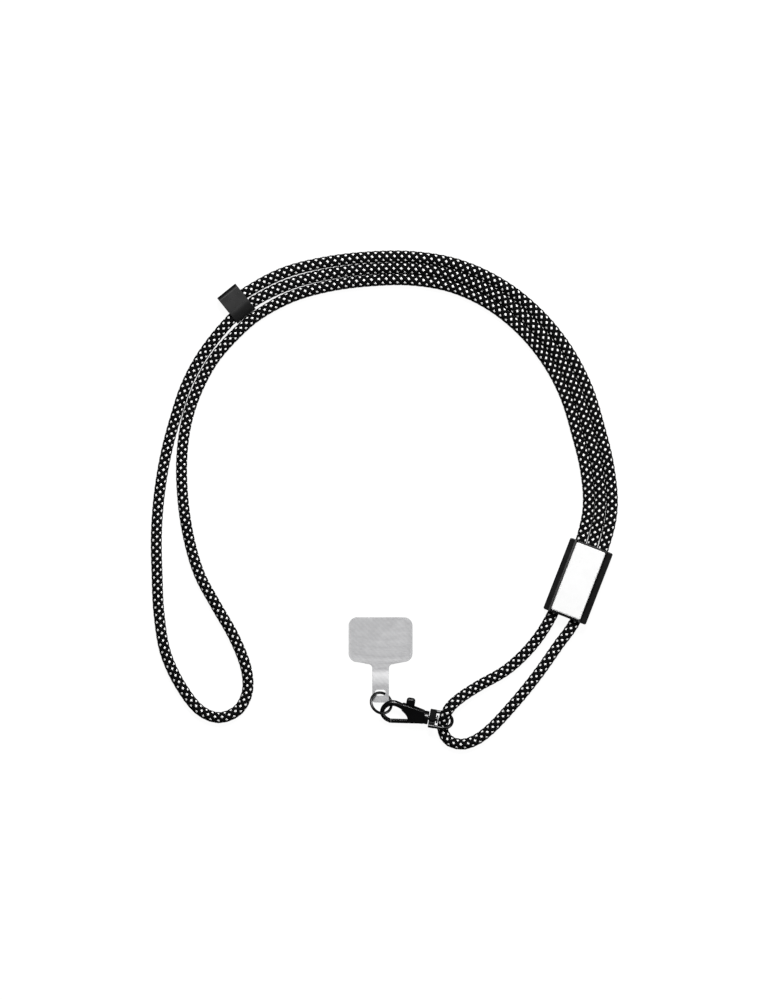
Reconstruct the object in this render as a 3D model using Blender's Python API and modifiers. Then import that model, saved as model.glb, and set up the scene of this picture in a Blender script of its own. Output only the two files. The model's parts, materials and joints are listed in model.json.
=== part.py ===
"""A rope phone lanyard lying on a flat surface.

One thick rope runs from a folded clip through an adjuster to a swivel eye, back through the adjuster,
round the neck loop, through the clip and into the adjuster again. A trigger hook turns on the eye and
carries a small ring with a flat tether tab. Sizes are in metres, +Z is up and the surface is at z = 0.
"""

import math
from collections import namedtuple

import bmesh
import bpy
from mathutils import Matrix, Vector

MM = 0.001

# Clearances
FIT_GAP = 0.3 * MM
STRAND_GAP = 0.5 * MM
WELD_DISTANCE = 0.001 * MM

# Rope
ROPE_DIAMETER = 5.0 * MM
STATION_SPACING = 18.0 * MM
TURN_PER_POINT = math.radians(26)

# Folded clip
CLIP_LENGTH = 11.0 * MM
CLIP_WALL = 0.8 * MM
CLIP_SEAM_WALL = 3.5 * MM
CLIP_SEAM_ROUND = 1.4 * MM
CLIP_CELL_ROUND = 0.8 * MM
CLIP_EDGE = 0.2 * MM
CLIP_MIDDLE = Vector((-81.4, 92.1, 0.0)) * MM
CLIP_ANGLE = math.radians(38.8)

# Adjuster
SLIDER_LENGTH = 35.8 * MM
SLIDER_WALL = 2.3 * MM
SLIDER_FLOOR = 1.2 * MM
SLIDER_ROOF = 1.0 * MM
SLIDER_CORNER = 0.8 * MM
SLIDER_EDGE = 0.4 * MM
SLIDER_END_STOP = 5.0 * MM
RAIL_WIDTH = 3.4 * MM
RAIL_RISE = 0.4 * MM
PLATE_THICKNESS = 0.8 * MM
PLATE_TOP_LIP = 0.8 * MM
PLATE_BOTTOM_LIP = 1.2 * MM
PLATE_CORNER = 0.5 * MM
SLIDER_MIDDLE = Vector((76.4, -35.0, 0.0)) * MM
SLIDER_ANGLE = math.radians(-21.2)

# Swivel eye
SWIVEL_START = Vector((6.2, -99.2, 3.75)) * MM
SWIVEL_ANGLE = math.radians(-10)
EYE_TILT = math.radians(-37)
EYE_WIRE = 1.6 * MM
EYE_WIDTH = 8.8 * MM
EYE_REACH = 11.2 * MM
EYE_BASE_LENGTH = 3.1 * MM
EYE_BASE_HEIGHT = 3.8 * MM
EYE_BASE_BOSS = 4.4 * MM
EYE_BASE_ROUND = 0.9 * MM
EYE_BASE_EDGE = 0.3 * MM

# Trigger hook
HOOK_ROLL = math.radians(15)
HOOK_REACH = 22.0 * MM
HOOK_WIDTH = 9.0 * MM
HOOK_BODY_HEIGHT = 4.6 * MM
HOOK_BODY_EDGE = 0.7 * MM
CLAW_ROOT_DIAMETER = 2.8 * MM
CLAW_TIP_DIAMETER = 2.0 * MM
POST_DIAMETER = 2.0 * MM
POST_HEAD_DIAMETER = 3.8 * MM
POST_HEAD_HEIGHT = 0.7 * MM
COLLAR_DIAMETER = 6.3 * MM
COLLAR_LENGTH = 2.2 * MM
COLLAR_EDGE = 0.4 * MM
GATE_THICKNESS = 1.8 * MM
GATE_EDGE = 0.2 * MM
GATE_BOSS_DIAMETER = 3.6 * MM
GATE_BOSS_ARC = [math.radians(angle) for angle in range(-110, 71, 30)]
STEM_WIDTH = 2.5 * MM
PIN_DIAMETER = 1.2 * MM
KNOB_WIDTH = 4.1 * MM
KNOB_DEPTH = 3.6 * MM
KNOB_TOP_ROUND = 1.3 * MM
KNOB_EDGE = 0.5 * MM

# Ring and tether tab. The ring hangs on the claw: along and across are shares of the hook's two sizes.
RING_ALONG = 1.049
RING_ACROSS = 0.332
RING_DROP = 0.593 * MM
RING_DIAMETER = 10.2 * MM
RING_WIRE = 1.15 * MM
RING_TILT = math.radians(30)
RING_LOW_SIDE = math.radians(44)
TAB_THICKNESS = 0.7 * MM
TAB_LENGTH = 22.0 * MM
TAB_WIDTH = 30.0 * MM
TAB_CORNER = 4.0 * MM
TAB_SHOULDER_DROP = 1.0 * MM
TONGUE_LENGTH = 18.0 * MM
TONGUE_WIDTH = 7.8 * MM
TONGUE_CORNER = 1.2 * MM
TONGUE_FILLET = 2.0 * MM
TONGUE_BEND_STEPS = 8
TONGUE_END_SIDE = -0.3 * MM
TONGUE_END_BACK = 0.2 * MM
TONGUE_LIFT = 2.15 * MM
TONGUE_ROLL = 0.16
SLOT_WIDTH = 5.0 * MM
SLOT_LENGTH = 2.8 * MM
SLOT_END_ROUND = 1.3 * MM
SLOT_FROM_END = 4.6 * MM
SLOT_SIDE = -0.1 * MM

ROPE_RADIUS = ROPE_DIAMETER / 2
STRAND_PITCH = ROPE_DIAMETER + STRAND_GAP
BORE_RADIUS = ROPE_RADIUS + FIT_GAP

# Stands a flat outline up across the X axis: its x becomes Y and its y becomes Z.
ACROSS = Matrix(((0, 0, 1, 0), (1, 0, 0, 0), (0, 1, 0, 0), (0, 0, 0, 1)))

# The rope's route by hand: places in millimetres, lift is the rope's height above the surface.
RoutePoint = namedtuple("RoutePoint", "x y lift")
BundlePoint = namedtuple("BundlePoint", "x y spread")

# Middle of the three strands, from the adjuster round to the clip. Spread widens them near the clip.
BUNDLE_ROUTE = [
    BundlePoint(86.8, -1.0, 1.0),
    BundlePoint(85.6, 17.0, 1.0),
    BundlePoint(81.2, 35.8, 1.0),
    BundlePoint(75.4, 54.4, 1.0),
    BundlePoint(66.4, 71.4, 1.0),
    BundlePoint(53.6, 87.0, 1.0),
    BundlePoint(37.4, 99.8, 1.0),
    BundlePoint(18.6, 108.4, 1.0),
    BundlePoint(-1.6, 111.9, 1.0),
    BundlePoint(-22.0, 111.6, 1.0),
    BundlePoint(-41.8, 109.1, 1.02),
    BundlePoint(-60.2, 104.1, 1.06),
]

# Middle of the two strands below the clip, downwards.
PAIR_ROUTE = [
    BundlePoint(-96.6, 71.2, 1.0),
    BundlePoint(-104.8, 56.4, 1.0),
    BundlePoint(-110.0, 41.0, 1.0),
    BundlePoint(-113.4, 24.0, 1.38),
]
PAIR_HEADING = Vector((-114.7, 5.0, 0.0)) * MM

NECK_ROUTE = [
    RoutePoint(-109.2, 4.0, 0.0),
    RoutePoint(-106.3, -15.2, 0.0),
    RoutePoint(-101.3, -32.0, 0.0),
    RoutePoint(-93.5, -46.6, 0.0),
    RoutePoint(-84.9, -61.8, 0.0),
    RoutePoint(-79.3, -76.8, 0.0),
    RoutePoint(-79.0, -87.4, 0.0),
    RoutePoint(-83.4, -95.6, 0.0),
    RoutePoint(-92.0, -99.1, 0.0),
    RoutePoint(-100.6, -96.0, 0.0),
    RoutePoint(-109.4, -85.4, 0.0),
    RoutePoint(-117.2, -69.0, 0.0),
    RoutePoint(-120.4, -50.0, 0.0),
    RoutePoint(-121.3, -32.0, 0.0),
    RoutePoint(-121.6, -13.0, 0.0),
    RoutePoint(-120.2, 6.0, 0.0),
]

HOOK_ROUTE = [
    RoutePoint(66.9, -65.4, 0.3),
    RoutePoint(57.2, -79.2, 0.0),
    RoutePoint(46.5, -92.4, 0.0),
    RoutePoint(35.0, -104.7, 0.0),
    RoutePoint(28.2, -109.7, 0.0),
    RoutePoint(22.0, -111.6, 0.0),
    RoutePoint(16.4, -110.2, 0.0),
    RoutePoint(13.5, -106.8, 0.0),
    RoutePoint(12.9, -102.6, 0.3),
    RoutePoint(14.0, -98.2, 2.2),
    RoutePoint(16.6, -93.8, 2.8),
    RoutePoint(21.8, -89.3, 1.7),
    RoutePoint(29.6, -84.3, 0.4),
    RoutePoint(43.3, -76.3, 0.0),
    RoutePoint(55.4, -64.5, 0.4),
]

# Middle line of the claw from the hook's body round to its open tip. Along is the share of HOOK_REACH
# from the collar, across the share of HOOK_WIDTH, thick the share between tip and root diameter.
ClawPoint = namedtuple("ClawPoint", "along across thick")
CLAW_LINE = [
    ClawPoint(0.550, 0.320, 1.0),
    ClawPoint(0.620, 0.385, 1.0),
    ClawPoint(0.700, 0.445, 1.0),
    ClawPoint(0.790, 0.465, 1.0),
    ClawPoint(0.880, 0.400, 0.9),
    ClawPoint(0.958, 0.230, 0.5),
    ClawPoint(0.995, 0.020, 0.2),
    ClawPoint(0.990, -0.180, 0.1),
    ClawPoint(0.935, -0.360, 0.1),
    ClawPoint(0.860, -0.465, 0.1),
    ClawPoint(0.780, -0.505, 0.0),
]

# Side view of the hook's body, as shares of the same two sizes.
OutlinePoint = namedtuple("OutlinePoint", "along across")
BODY_OUTLINE = [
    OutlinePoint(0.080, 0.322),
    OutlinePoint(0.080, -0.322),
    OutlinePoint(0.170, -0.330),
    OutlinePoint(0.425, -0.435),
    OutlinePoint(0.436, -0.195),
    OutlinePoint(0.468, -0.055),
    OutlinePoint(0.528, 0.085),
    OutlinePoint(0.612, 0.215),
    OutlinePoint(0.610, 0.535),
    OutlinePoint(0.510, 0.517),
    OutlinePoint(0.315, 0.444),
]
SLOT_OUTLINE = [
    OutlinePoint(0.595, -0.750),
    OutlinePoint(0.595, -0.050),
    OutlinePoint(0.520, 0.150),
    OutlinePoint(0.520, 0.750),
    OutlinePoint(0.225, 0.750),
    OutlinePoint(0.215, 0.050),
    OutlinePoint(0.185, -0.200),
    OutlinePoint(0.215, -0.340),
    OutlinePoint(0.280, -0.750),
]
PIVOT_ALONG = 0.295
PIVOT_ACROSS = -0.175
GATE_BEND_ALONG = 0.420
GATE_BEND_ACROSS = -0.370
STEM_ALONG = 0.432
STEM_TOP_ACROSS = 0.620
KNOB_BASE_LEFT = 0.570
KNOB_BASE_RIGHT = 0.500
KNOB_TOP = 0.875


def clear_scene():
    for item in list(bpy.data.objects):
        bpy.data.objects.remove(item, do_unlink=True)


def new_collection(name):
    group = bpy.data.collections.new(name)
    bpy.context.scene.collection.children.link(group)
    return group


def new_material(name, colour, roughness, metallic=0.0, alpha=1.0):
    material = bpy.data.materials.new(name)
    material.use_nodes = True
    shader = material.node_tree.nodes["Principled BSDF"]
    shader.inputs["Base Color"].default_value = (*colour, 1.0)
    shader.inputs["Roughness"].default_value = roughness
    shader.inputs["Metallic"].default_value = metallic
    shader.inputs["Alpha"].default_value = alpha
    return material


def new_object(name, mesh, group, material=None, parent=None):
    item = bpy.data.objects.new(name, mesh)
    group.objects.link(item)
    item.parent = parent
    if material is not None:
        mesh.materials.clear()
        mesh.materials.append(material)
        mesh.shade_smooth()
        mesh.set_sharp_from_angle(angle=math.radians(35))
    return item


def new_empty(name, matrix, group):
    empty = bpy.data.objects.new(name, None)
    empty.matrix_world = matrix
    empty.empty_display_size = 5 * MM
    group.objects.link(empty)
    return empty


def turned(place, angle, roll=0.0):
    """A frame at place, turned about Z and rolled about its own X."""
    return Matrix.Translation(place) @ Matrix.Rotation(angle, 4, "Z") @ Matrix.Rotation(roll, 4, "X")


def curve_to_mesh(curve, name):
    """The curve's evaluated surface with its caps welded on."""
    item = bpy.data.objects.new(name, curve)
    bpy.context.scene.collection.objects.link(item)
    bpy.context.view_layer.update()
    mesh = bpy.data.meshes.new_from_object(item.evaluated_get(bpy.context.evaluated_depsgraph_get()))
    bpy.data.objects.remove(item, do_unlink=True)
    bpy.data.curves.remove(curve)
    shape = bmesh.new()
    shape.from_mesh(mesh)
    bmesh.ops.remove_doubles(shape, verts=shape.verts, dist=WELD_DISTANCE)
    bmesh.ops.recalc_face_normals(shape, faces=shape.faces)
    shape.to_mesh(mesh)
    shape.free()
    return mesh


def fill_curve(name, points, radii, cyclic):
    curve = bpy.data.curves.new(name, "CURVE")
    spline = curve.splines.new("POLY")
    spline.points.add(len(points) - 1)
    for target, point, radius in zip(spline.points, points, radii):
        target.co = (*point, 1.0)
        target.radius = radius
    spline.use_cyclic_u = cyclic
    return curve


def tube_curve(name, points, radii, sides_step):
    """A round tube along the points, with filled caps."""
    curve = fill_curve(name, points, radii, False)
    curve.dimensions = "3D"
    curve.bevel_depth = 1.0
    curve.bevel_resolution = sides_step
    curve.use_fill_caps = True
    return curve


def slab_mesh(name, outline, thickness):
    """A flat outline in XY with the thickness shared above and below z = 0."""
    points = [Vector((x, y, 0.0)) for x, y in outline]
    curve = fill_curve(name, points, [1.0] * len(points), True)
    curve.dimensions = "2D"
    curve.fill_mode = "BOTH"
    curve.extrude = thickness / 2
    return curve_to_mesh(curve, name)


def box_mesh(name, size, centre=(0.0, 0.0, 0.0)):
    mesh = bpy.data.meshes.new(name)
    shape = bmesh.new()
    bmesh.ops.create_cube(shape, size=1.0)
    bmesh.ops.scale(shape, vec=size, verts=shape.verts)
    bmesh.ops.translate(shape, vec=centre, verts=shape.verts)
    shape.to_mesh(mesh)
    shape.free()
    return mesh


def rod_mesh(name, diameter, start, length, axis, sides=24):
    """A round rod that starts at start and runs along the axis X or Z."""
    mesh = bpy.data.meshes.new(name)
    shape = bmesh.new()
    bmesh.ops.create_cone(
        shape, cap_ends=True, segments=sides, radius1=diameter / 2, radius2=diameter / 2, depth=length
    )
    bmesh.ops.translate(shape, vec=(0.0, 0.0, length / 2), verts=shape.verts)
    if axis == "X":
        turn = Matrix.Rotation(math.pi / 2, 3, "Y")
        bmesh.ops.rotate(shape, cent=(0, 0, 0), matrix=turn, verts=shape.verts)
    bmesh.ops.translate(shape, vec=start, verts=shape.verts)
    shape.to_mesh(mesh)
    shape.free()
    return mesh


def round_corner(corner, radius, start, turn, steps=4):
    """Points on an arc round a corner's centre, from the start angle through the turn."""
    return [
        (corner[0] + radius * math.cos(start + turn * i / steps),
         corner[1] + radius * math.sin(start + turn * i / steps))
        for i in range(steps + 1)
    ]


def rounded_rectangle(x_low, x_high, y_low, y_high, radius, steps=4):
    quarter = math.pi / 2
    corners = [
        ((x_high - radius, y_high - radius), 0.0),
        ((x_low + radius, y_high - radius), quarter),
        ((x_low + radius, y_low + radius), 2 * quarter),
        ((x_high - radius, y_low + radius), 3 * quarter),
    ]
    outline = []
    for corner, start in corners:
        outline += round_corner(corner, radius, start, quarter, steps)
    return outline


def bevel_edges(item, width, segments=2, angle=35):
    bevel = item.modifiers.new("edge rounding", "BEVEL")
    bevel.width = width
    bevel.segments = segments
    bevel.limit_method = "ANGLE"
    bevel.angle_limit = math.radians(angle)
    return bevel


def combine(item, name, mesh, operation, cutters):
    """Cut or join a mesh, which lies in the item's own frame."""
    tool = new_object(name, mesh, cutters, parent=item)
    tool.hide_render = True
    tool.display_type = "WIRE"
    boolean = item.modifiers.new(name, "BOOLEAN")
    boolean.operation = operation
    boolean.object = tool
    boolean.solver = "EXACT"
    return tool


def smooth_between(points, index, share):
    """A point between points[index] and the next, on a centripetal Catmull-Rom curve."""
    p1, p2 = points[index], points[index + 1]
    p0 = points[index - 1] if index > 0 else 2 * p1 - p2
    p3 = points[index + 2] if index + 2 < len(points) else 2 * p2 - p1
    t0 = 0.0
    t1 = t0 + math.sqrt((p1 - p0).length)
    t2 = t1 + math.sqrt((p2 - p1).length)
    t3 = t2 + math.sqrt((p3 - p2).length)
    t = t1 + (t2 - t1) * share
    a1 = p0 * ((t1 - t) / (t1 - t0)) + p1 * ((t - t0) / (t1 - t0))
    a2 = p1 * ((t2 - t) / (t2 - t1)) + p2 * ((t - t1) / (t2 - t1))
    a3 = p2 * ((t3 - t) / (t3 - t2)) + p3 * ((t - t2) / (t3 - t2))
    b1 = a1 * ((t2 - t) / (t2 - t0)) + a2 * ((t - t0) / (t2 - t0))
    b2 = a2 * ((t3 - t) / (t3 - t1)) + a3 * ((t - t1) / (t3 - t1))
    return b1 * ((t2 - t) / (t2 - t1)) + b2 * ((t - t1) / (t2 - t1))


def clip_frame():
    return turned(CLIP_MIDDLE, CLIP_ANGLE)


def clip_strand_offsets():
    """Distances of the fixed, sliding and passing strands from the sliding one, outwards."""
    fixed = STRAND_PITCH
    passing = -(BORE_RADIUS + CLIP_WALL + FIT_GAP + ROPE_RADIUS)
    return fixed, 0.0, passing


def clip_rope_height():
    return CLIP_WALL + BORE_RADIUS


def slider_frame_matrix():
    return turned(SLIDER_MIDDLE, SLIDER_ANGLE)


def slider_rope_height():
    return SLIDER_FLOOR + BORE_RADIUS


def strand_through_slider(side, from_top):
    """Points in one channel. Side is 1 for the outer one, 0 for the middle and -1 for the inner."""
    matrix = slider_frame_matrix()
    half = SLIDER_LENGTH / 2
    ends = [half, -half] if from_top else [-half, half]
    return [matrix @ Vector((side * STRAND_PITCH, y, slider_rope_height())) for y in ends]


def bundle_stations(route, start, finish, pitch):
    """Evenly spaced stations on the middle line, each with its sideways step to the next strand."""
    line = [start] + [Vector((p.x * MM, p.y * MM, 0.0)) for p in route] + [finish]
    spreads = [route[0].spread] + [p.spread for p in route] + [route[-1].spread]
    stations = []
    for index in range(1, len(line) - 2):
        before = line[index + 1] - line[index - 1]
        after = line[index + 2] - line[index]
        count = max(1, round((line[index + 1] - line[index]).length / STATION_SPACING))
        for step in range(count):
            share = step / count
            place = smooth_between(line, index, share)
            along = (before.normalized() * (1 - share) + after.normalized() * share).normalized()
            spread = spreads[index] * (1 - share) + spreads[index + 1] * share
            stations.append((place, Vector((-along.y, along.x, 0.0)) * pitch * spread))
    last = line[-2]
    along = (line[-1] - line[-3]).normalized()
    stations.append((last, Vector((-along.y, along.x, 0.0)) * pitch * spreads[-2]))
    return stations


def strand(stations, side):
    """One strand beside the middle line, side counts strands to the left of its direction."""
    return [place + step * side + Vector((0.0, 0.0, ROPE_RADIUS)) for place, step in stations]


def route_points(route):
    return [Vector((p.x * MM, p.y * MM, p.lift * MM + ROPE_RADIUS)) for p in route]


def rope_route():
    """The whole rope's route from its fixed end in the clip to its fixed end in the adjuster."""
    clip = clip_frame()
    fixed, sliding, passing = clip_strand_offsets()
    half = CLIP_LENGTH / 2
    height = clip_rope_height()
    mouth = clip @ Vector((half, sliding, 0.0))
    slider_top = slider_frame_matrix() @ Vector((0.0, SLIDER_LENGTH / 2, 0.0))
    bundle = bundle_stations(BUNDLE_ROUTE, slider_top, mouth, STRAND_PITCH)
    below = clip @ Vector((-half, (sliding + passing) / 2, 0.0))
    pair = bundle_stations(PAIR_ROUTE, below, PAIR_HEADING, STRAND_PITCH / 2)
    fixed_end = half - CLIP_LENGTH + CLIP_WALL + FIT_GAP

    route = [clip @ Vector((x, fixed, height)) for x in (fixed_end, half)]
    route += reversed(strand(bundle, -1))
    route += strand_through_slider(1, True)
    route += route_points(HOOK_ROUTE)
    route += strand_through_slider(-1, False)
    route += strand(bundle, 1)
    route += [clip @ Vector((x, passing, ROPE_RADIUS)) for x in (half, -half)]
    route += strand(pair, 1)
    route += route_points(NECK_ROUTE)
    route += reversed(strand(pair, -1))
    route += [clip @ Vector((x, sliding, height)) for x in (-half, half)]
    route += strand(bundle, 0)[::-1]
    last = strand_through_slider(0, True)
    stop = SLIDER_END_STOP + FIT_GAP
    route += [last[0], last[1] + (last[0] - last[1]).normalized() * stop]
    return route


def tube_points(route):
    """The route's points, with more between them where the rope bends tightly, none below the surface."""
    points = []
    for index in range(len(route) - 1):
        before = route[index] - route[max(index - 1, 0)] if index else route[1] - route[0]
        after = route[min(index + 2, len(route) - 1)] - route[index + 1]
        if after.length == 0.0:
            after = route[index + 1] - route[index]
        count = max(1, math.ceil(before.angle(after) / 2 / TURN_PER_POINT))
        points += [smooth_between(route, index, step / count) for step in range(count)]
    points.append(route[-1])
    return [Vector((p.x, p.y, max(p.z, ROPE_RADIUS))) for p in points]


def build_rope(group, material):
    points = tube_points(rope_route())
    curve = tube_curve("rope", points, [ROPE_RADIUS] * len(points), 4)
    curve.materials.append(material)
    group.objects.link(bpy.data.objects.new("rope", curve))


def build_clip(group, cutters, material):
    """A folded band: a blind cell for the rope's end beside an open one that the rope slides through."""
    fixed = clip_strand_offsets()[0]
    round_radius = BORE_RADIUS + CLIP_WALL
    outer = fixed + BORE_RADIUS + CLIP_SEAM_WALL
    quarter = math.pi / 2
    low, high = -round_radius, round_radius
    band = round_corner((0.0, 0.0), round_radius, quarter, 2 * quarter, 10)
    seam = outer - CLIP_SEAM_ROUND
    band += round_corner((seam, low + CLIP_SEAM_ROUND), CLIP_SEAM_ROUND, -quarter, quarter)
    band += round_corner((seam, high - CLIP_SEAM_ROUND), CLIP_SEAM_ROUND, 0.0, quarter)
    open_cell = round_corner((0.0, 0.0), BORE_RADIUS, quarter, 2 * quarter, 10)
    open_cell += [(BORE_RADIUS, -BORE_RADIUS), (BORE_RADIUS, BORE_RADIUS)]
    blind_cell = rounded_rectangle(
        fixed - BORE_RADIUS, fixed + BORE_RADIUS, -BORE_RADIUS, BORE_RADIUS, CLIP_CELL_ROUND
    )

    def across_cord(name, outline, thickness, shift):
        mesh = slab_mesh(name, outline, thickness)
        mesh.transform(Matrix.Translation((shift, 0.0, clip_rope_height())) @ ACROSS)
        return mesh

    item = new_object("rope_clip", across_cord("rope_clip", band, CLIP_LENGTH, 0.0), group, material)
    item.matrix_world = clip_frame()
    bevel_edges(item, CLIP_EDGE, 1, 60)
    combine(item, "clip open cell", across_cord("clip open cell", open_cell, 2 * CLIP_LENGTH, 0.0),
            "DIFFERENCE", cutters)
    combine(item, "clip blind cell",
            across_cord("clip blind cell", blind_cell, 2 * CLIP_LENGTH, CLIP_LENGTH / 2 + CLIP_WALL),
            "DIFFERENCE", cutters)


def slider_sizes():
    """Width, height of the rails and height of the plate's seat."""
    width = 2 * (STRAND_PITCH + BORE_RADIUS + SLIDER_WALL)
    seat = SLIDER_FLOOR + 2 * BORE_RADIUS + SLIDER_ROOF
    return width, seat + FIT_GAP + PLATE_THICKNESS + RAIL_RISE, seat


def build_slider(group, cutters, frame_material, plate_material):
    width, height, seat = slider_sizes()
    half_width, half_length = width / 2, SLIDER_LENGTH / 2
    outline = rounded_rectangle(-half_width, half_width, -half_length, half_length, SLIDER_CORNER)
    mesh = slab_mesh("slider_frame", outline, height)
    mesh.transform(Matrix.Translation((0.0, 0.0, height / 2)))
    frame = new_object("slider_frame", mesh, group, frame_material)
    frame.matrix_world = slider_frame_matrix()
    bevel_edges(frame, SLIDER_EDGE)

    plate_half_width = half_width - RAIL_WIDTH
    plate_top = half_length - PLATE_TOP_LIP
    plate_bottom = PLATE_BOTTOM_LIP - half_length
    recess = rounded_rectangle(
        -plate_half_width - FIT_GAP, plate_half_width + FIT_GAP,
        plate_bottom - FIT_GAP, plate_top + FIT_GAP, PLATE_CORNER + FIT_GAP
    )
    mesh = slab_mesh("plate recess", recess, height)
    mesh.transform(Matrix.Translation((0.0, 0.0, seat + height / 2)))
    combine(frame, "plate recess", mesh, "DIFFERENCE", cutters)

    channel_half = STRAND_PITCH + BORE_RADIUS
    length = 2 * SLIDER_LENGTH
    stop_shift = SLIDER_END_STOP - half_length + length / 2
    deep = 2 * BORE_RADIUS
    middle = slider_rope_height()
    mesh = box_mesh("upper channel", (2 * channel_half, length, deep), (0.0, stop_shift, middle))
    combine(frame, "upper channel", mesh, "DIFFERENCE", cutters)
    for side, name in ((-1, "inner channel"), (1, "outer channel")):
        mesh = box_mesh(name, (deep, length, deep), (side * STRAND_PITCH, 0.0, middle))
        combine(frame, name, mesh, "DIFFERENCE", cutters)

    outline = rounded_rectangle(
        -plate_half_width, plate_half_width, plate_bottom, plate_top, PLATE_CORNER
    )
    mesh = slab_mesh("slider_plate", outline, PLATE_THICKNESS)
    mesh.transform(Matrix.Translation((0.0, 0.0, seat + FIT_GAP + PLATE_THICKNESS / 2)))
    plate = new_object("slider_plate", mesh, group, plate_material)
    plate.matrix_world = slider_frame_matrix()


def build_eye(group, cutters, material):
    """A round wire bow on a base block that turns on the hook's post."""
    half_width = EYE_WIDTH / 2
    radius = EYE_WIRE / 2
    base_start = FIT_GAP
    bend_start = EYE_REACH - half_width
    root = base_start + EYE_BASE_LENGTH / 2
    bow = [(root, half_width)] + round_corner((bend_start, 0.0), half_width, math.pi / 2, -math.pi, 12)
    bow += [(root, -half_width)]
    points = [Vector((x, y, 0.0)) for x, y in bow]
    curve = tube_curve("eye bow", points, [radius] * len(points), 2)
    bow_mesh = curve_to_mesh(curve, "eye bow")

    quarter = math.pi / 2
    boss, height = EYE_BASE_BOSS / 2, EYE_BASE_HEIGHT / 2
    base = [(-boss, height)] + round_corner((-half_width, 0.0), EYE_BASE_ROUND, quarter, 2 * quarter)
    base += [(-boss, -height), (boss, -height)]
    base += round_corner((half_width, 0.0), EYE_BASE_ROUND, -quarter, 2 * quarter)
    base += [(boss, height)]
    mesh = slab_mesh("swivel_eye", base, EYE_BASE_LENGTH)
    mesh.transform(Matrix.Translation((root, 0.0, 0.0)) @ ACROSS)
    item = new_object("swivel_eye", mesh, group, material)
    item.matrix_world = turned(SWIVEL_START, SWIVEL_ANGLE, EYE_TILT)
    bevel_edges(item, EYE_BASE_EDGE, 1, 60)
    combine(item, "eye bow", bow_mesh, "UNION", cutters)
    bore = rod_mesh("eye bore", POST_DIAMETER + 2 * FIT_GAP, (-EYE_REACH / 2, 0.0, 0.0), EYE_REACH, "X")
    combine(item, "eye bore", bore, "DIFFERENCE", cutters)


def hook_place(along, across):
    """A place in the hook's plane, from its shares of the hook's reach and width."""
    return Vector((-along * HOOK_REACH, across * HOOK_WIDTH, 0.0))


def hook_matrix():
    return turned(SWIVEL_START, SWIVEL_ANGLE, HOOK_ROLL)


def build_hook(group, cutters, material, axis):
    outline = [hook_place(p.along, p.across)[:2] for p in BODY_OUTLINE]
    mesh = slab_mesh("hook_body", outline, HOOK_BODY_HEIGHT)
    body = new_object("hook_body", mesh, group, material, axis)
    bevel_edges(body, HOOK_BODY_EDGE, 2, 25)

    points = [hook_place(p.along, p.across) for p in CLAW_LINE]
    spread = (CLAW_ROOT_DIAMETER - CLAW_TIP_DIAMETER) / 2
    radii = [CLAW_TIP_DIAMETER / 2 + spread * p.thick for p in CLAW_LINE]
    claw = curve_to_mesh(tube_curve("claw", points, radii, 3), "claw")
    collar = rod_mesh("collar", COLLAR_DIAMETER, (-COLLAR_LENGTH, 0.0, 0.0), COLLAR_LENGTH, "X")
    head_start = 2 * FIT_GAP + EYE_BASE_LENGTH
    post = rod_mesh("post", POST_DIAMETER, (-COLLAR_LENGTH / 2, 0.0, 0.0),
                    COLLAR_LENGTH / 2 + head_start + POST_HEAD_HEIGHT / 2, "X")
    head = rod_mesh("post head", POST_HEAD_DIAMETER, (head_start, 0.0, 0.0), POST_HEAD_HEIGHT, "X")
    slot = slab_mesh("gate slot", [hook_place(p.along, p.across)[:2] for p in SLOT_OUTLINE],
                     GATE_THICKNESS + 2 * FIT_GAP)
    pivot = hook_place(PIVOT_ALONG, PIVOT_ACROSS)
    cheek = (HOOK_BODY_HEIGHT - GATE_THICKNESS) / 2
    pin_length = GATE_THICKNESS + cheek
    pin_start = pivot - Vector((0.0, 0.0, pin_length / 2))
    pin = rod_mesh("pivot pin", PIN_DIAMETER, pin_start, pin_length, "Z", 12)
    collar_tool = combine(body, "collar", collar, "UNION", cutters)
    bevel_edges(collar_tool, COLLAR_EDGE, 2)
    combine(body, "post", post, "UNION", cutters)
    combine(body, "post head", head, "UNION", cutters)
    combine(body, "claw", claw, "UNION", cutters)
    combine(body, "gate slot", slot, "DIFFERENCE", cutters)
    combine(body, "pivot pin", pin, "UNION", cutters)


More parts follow.
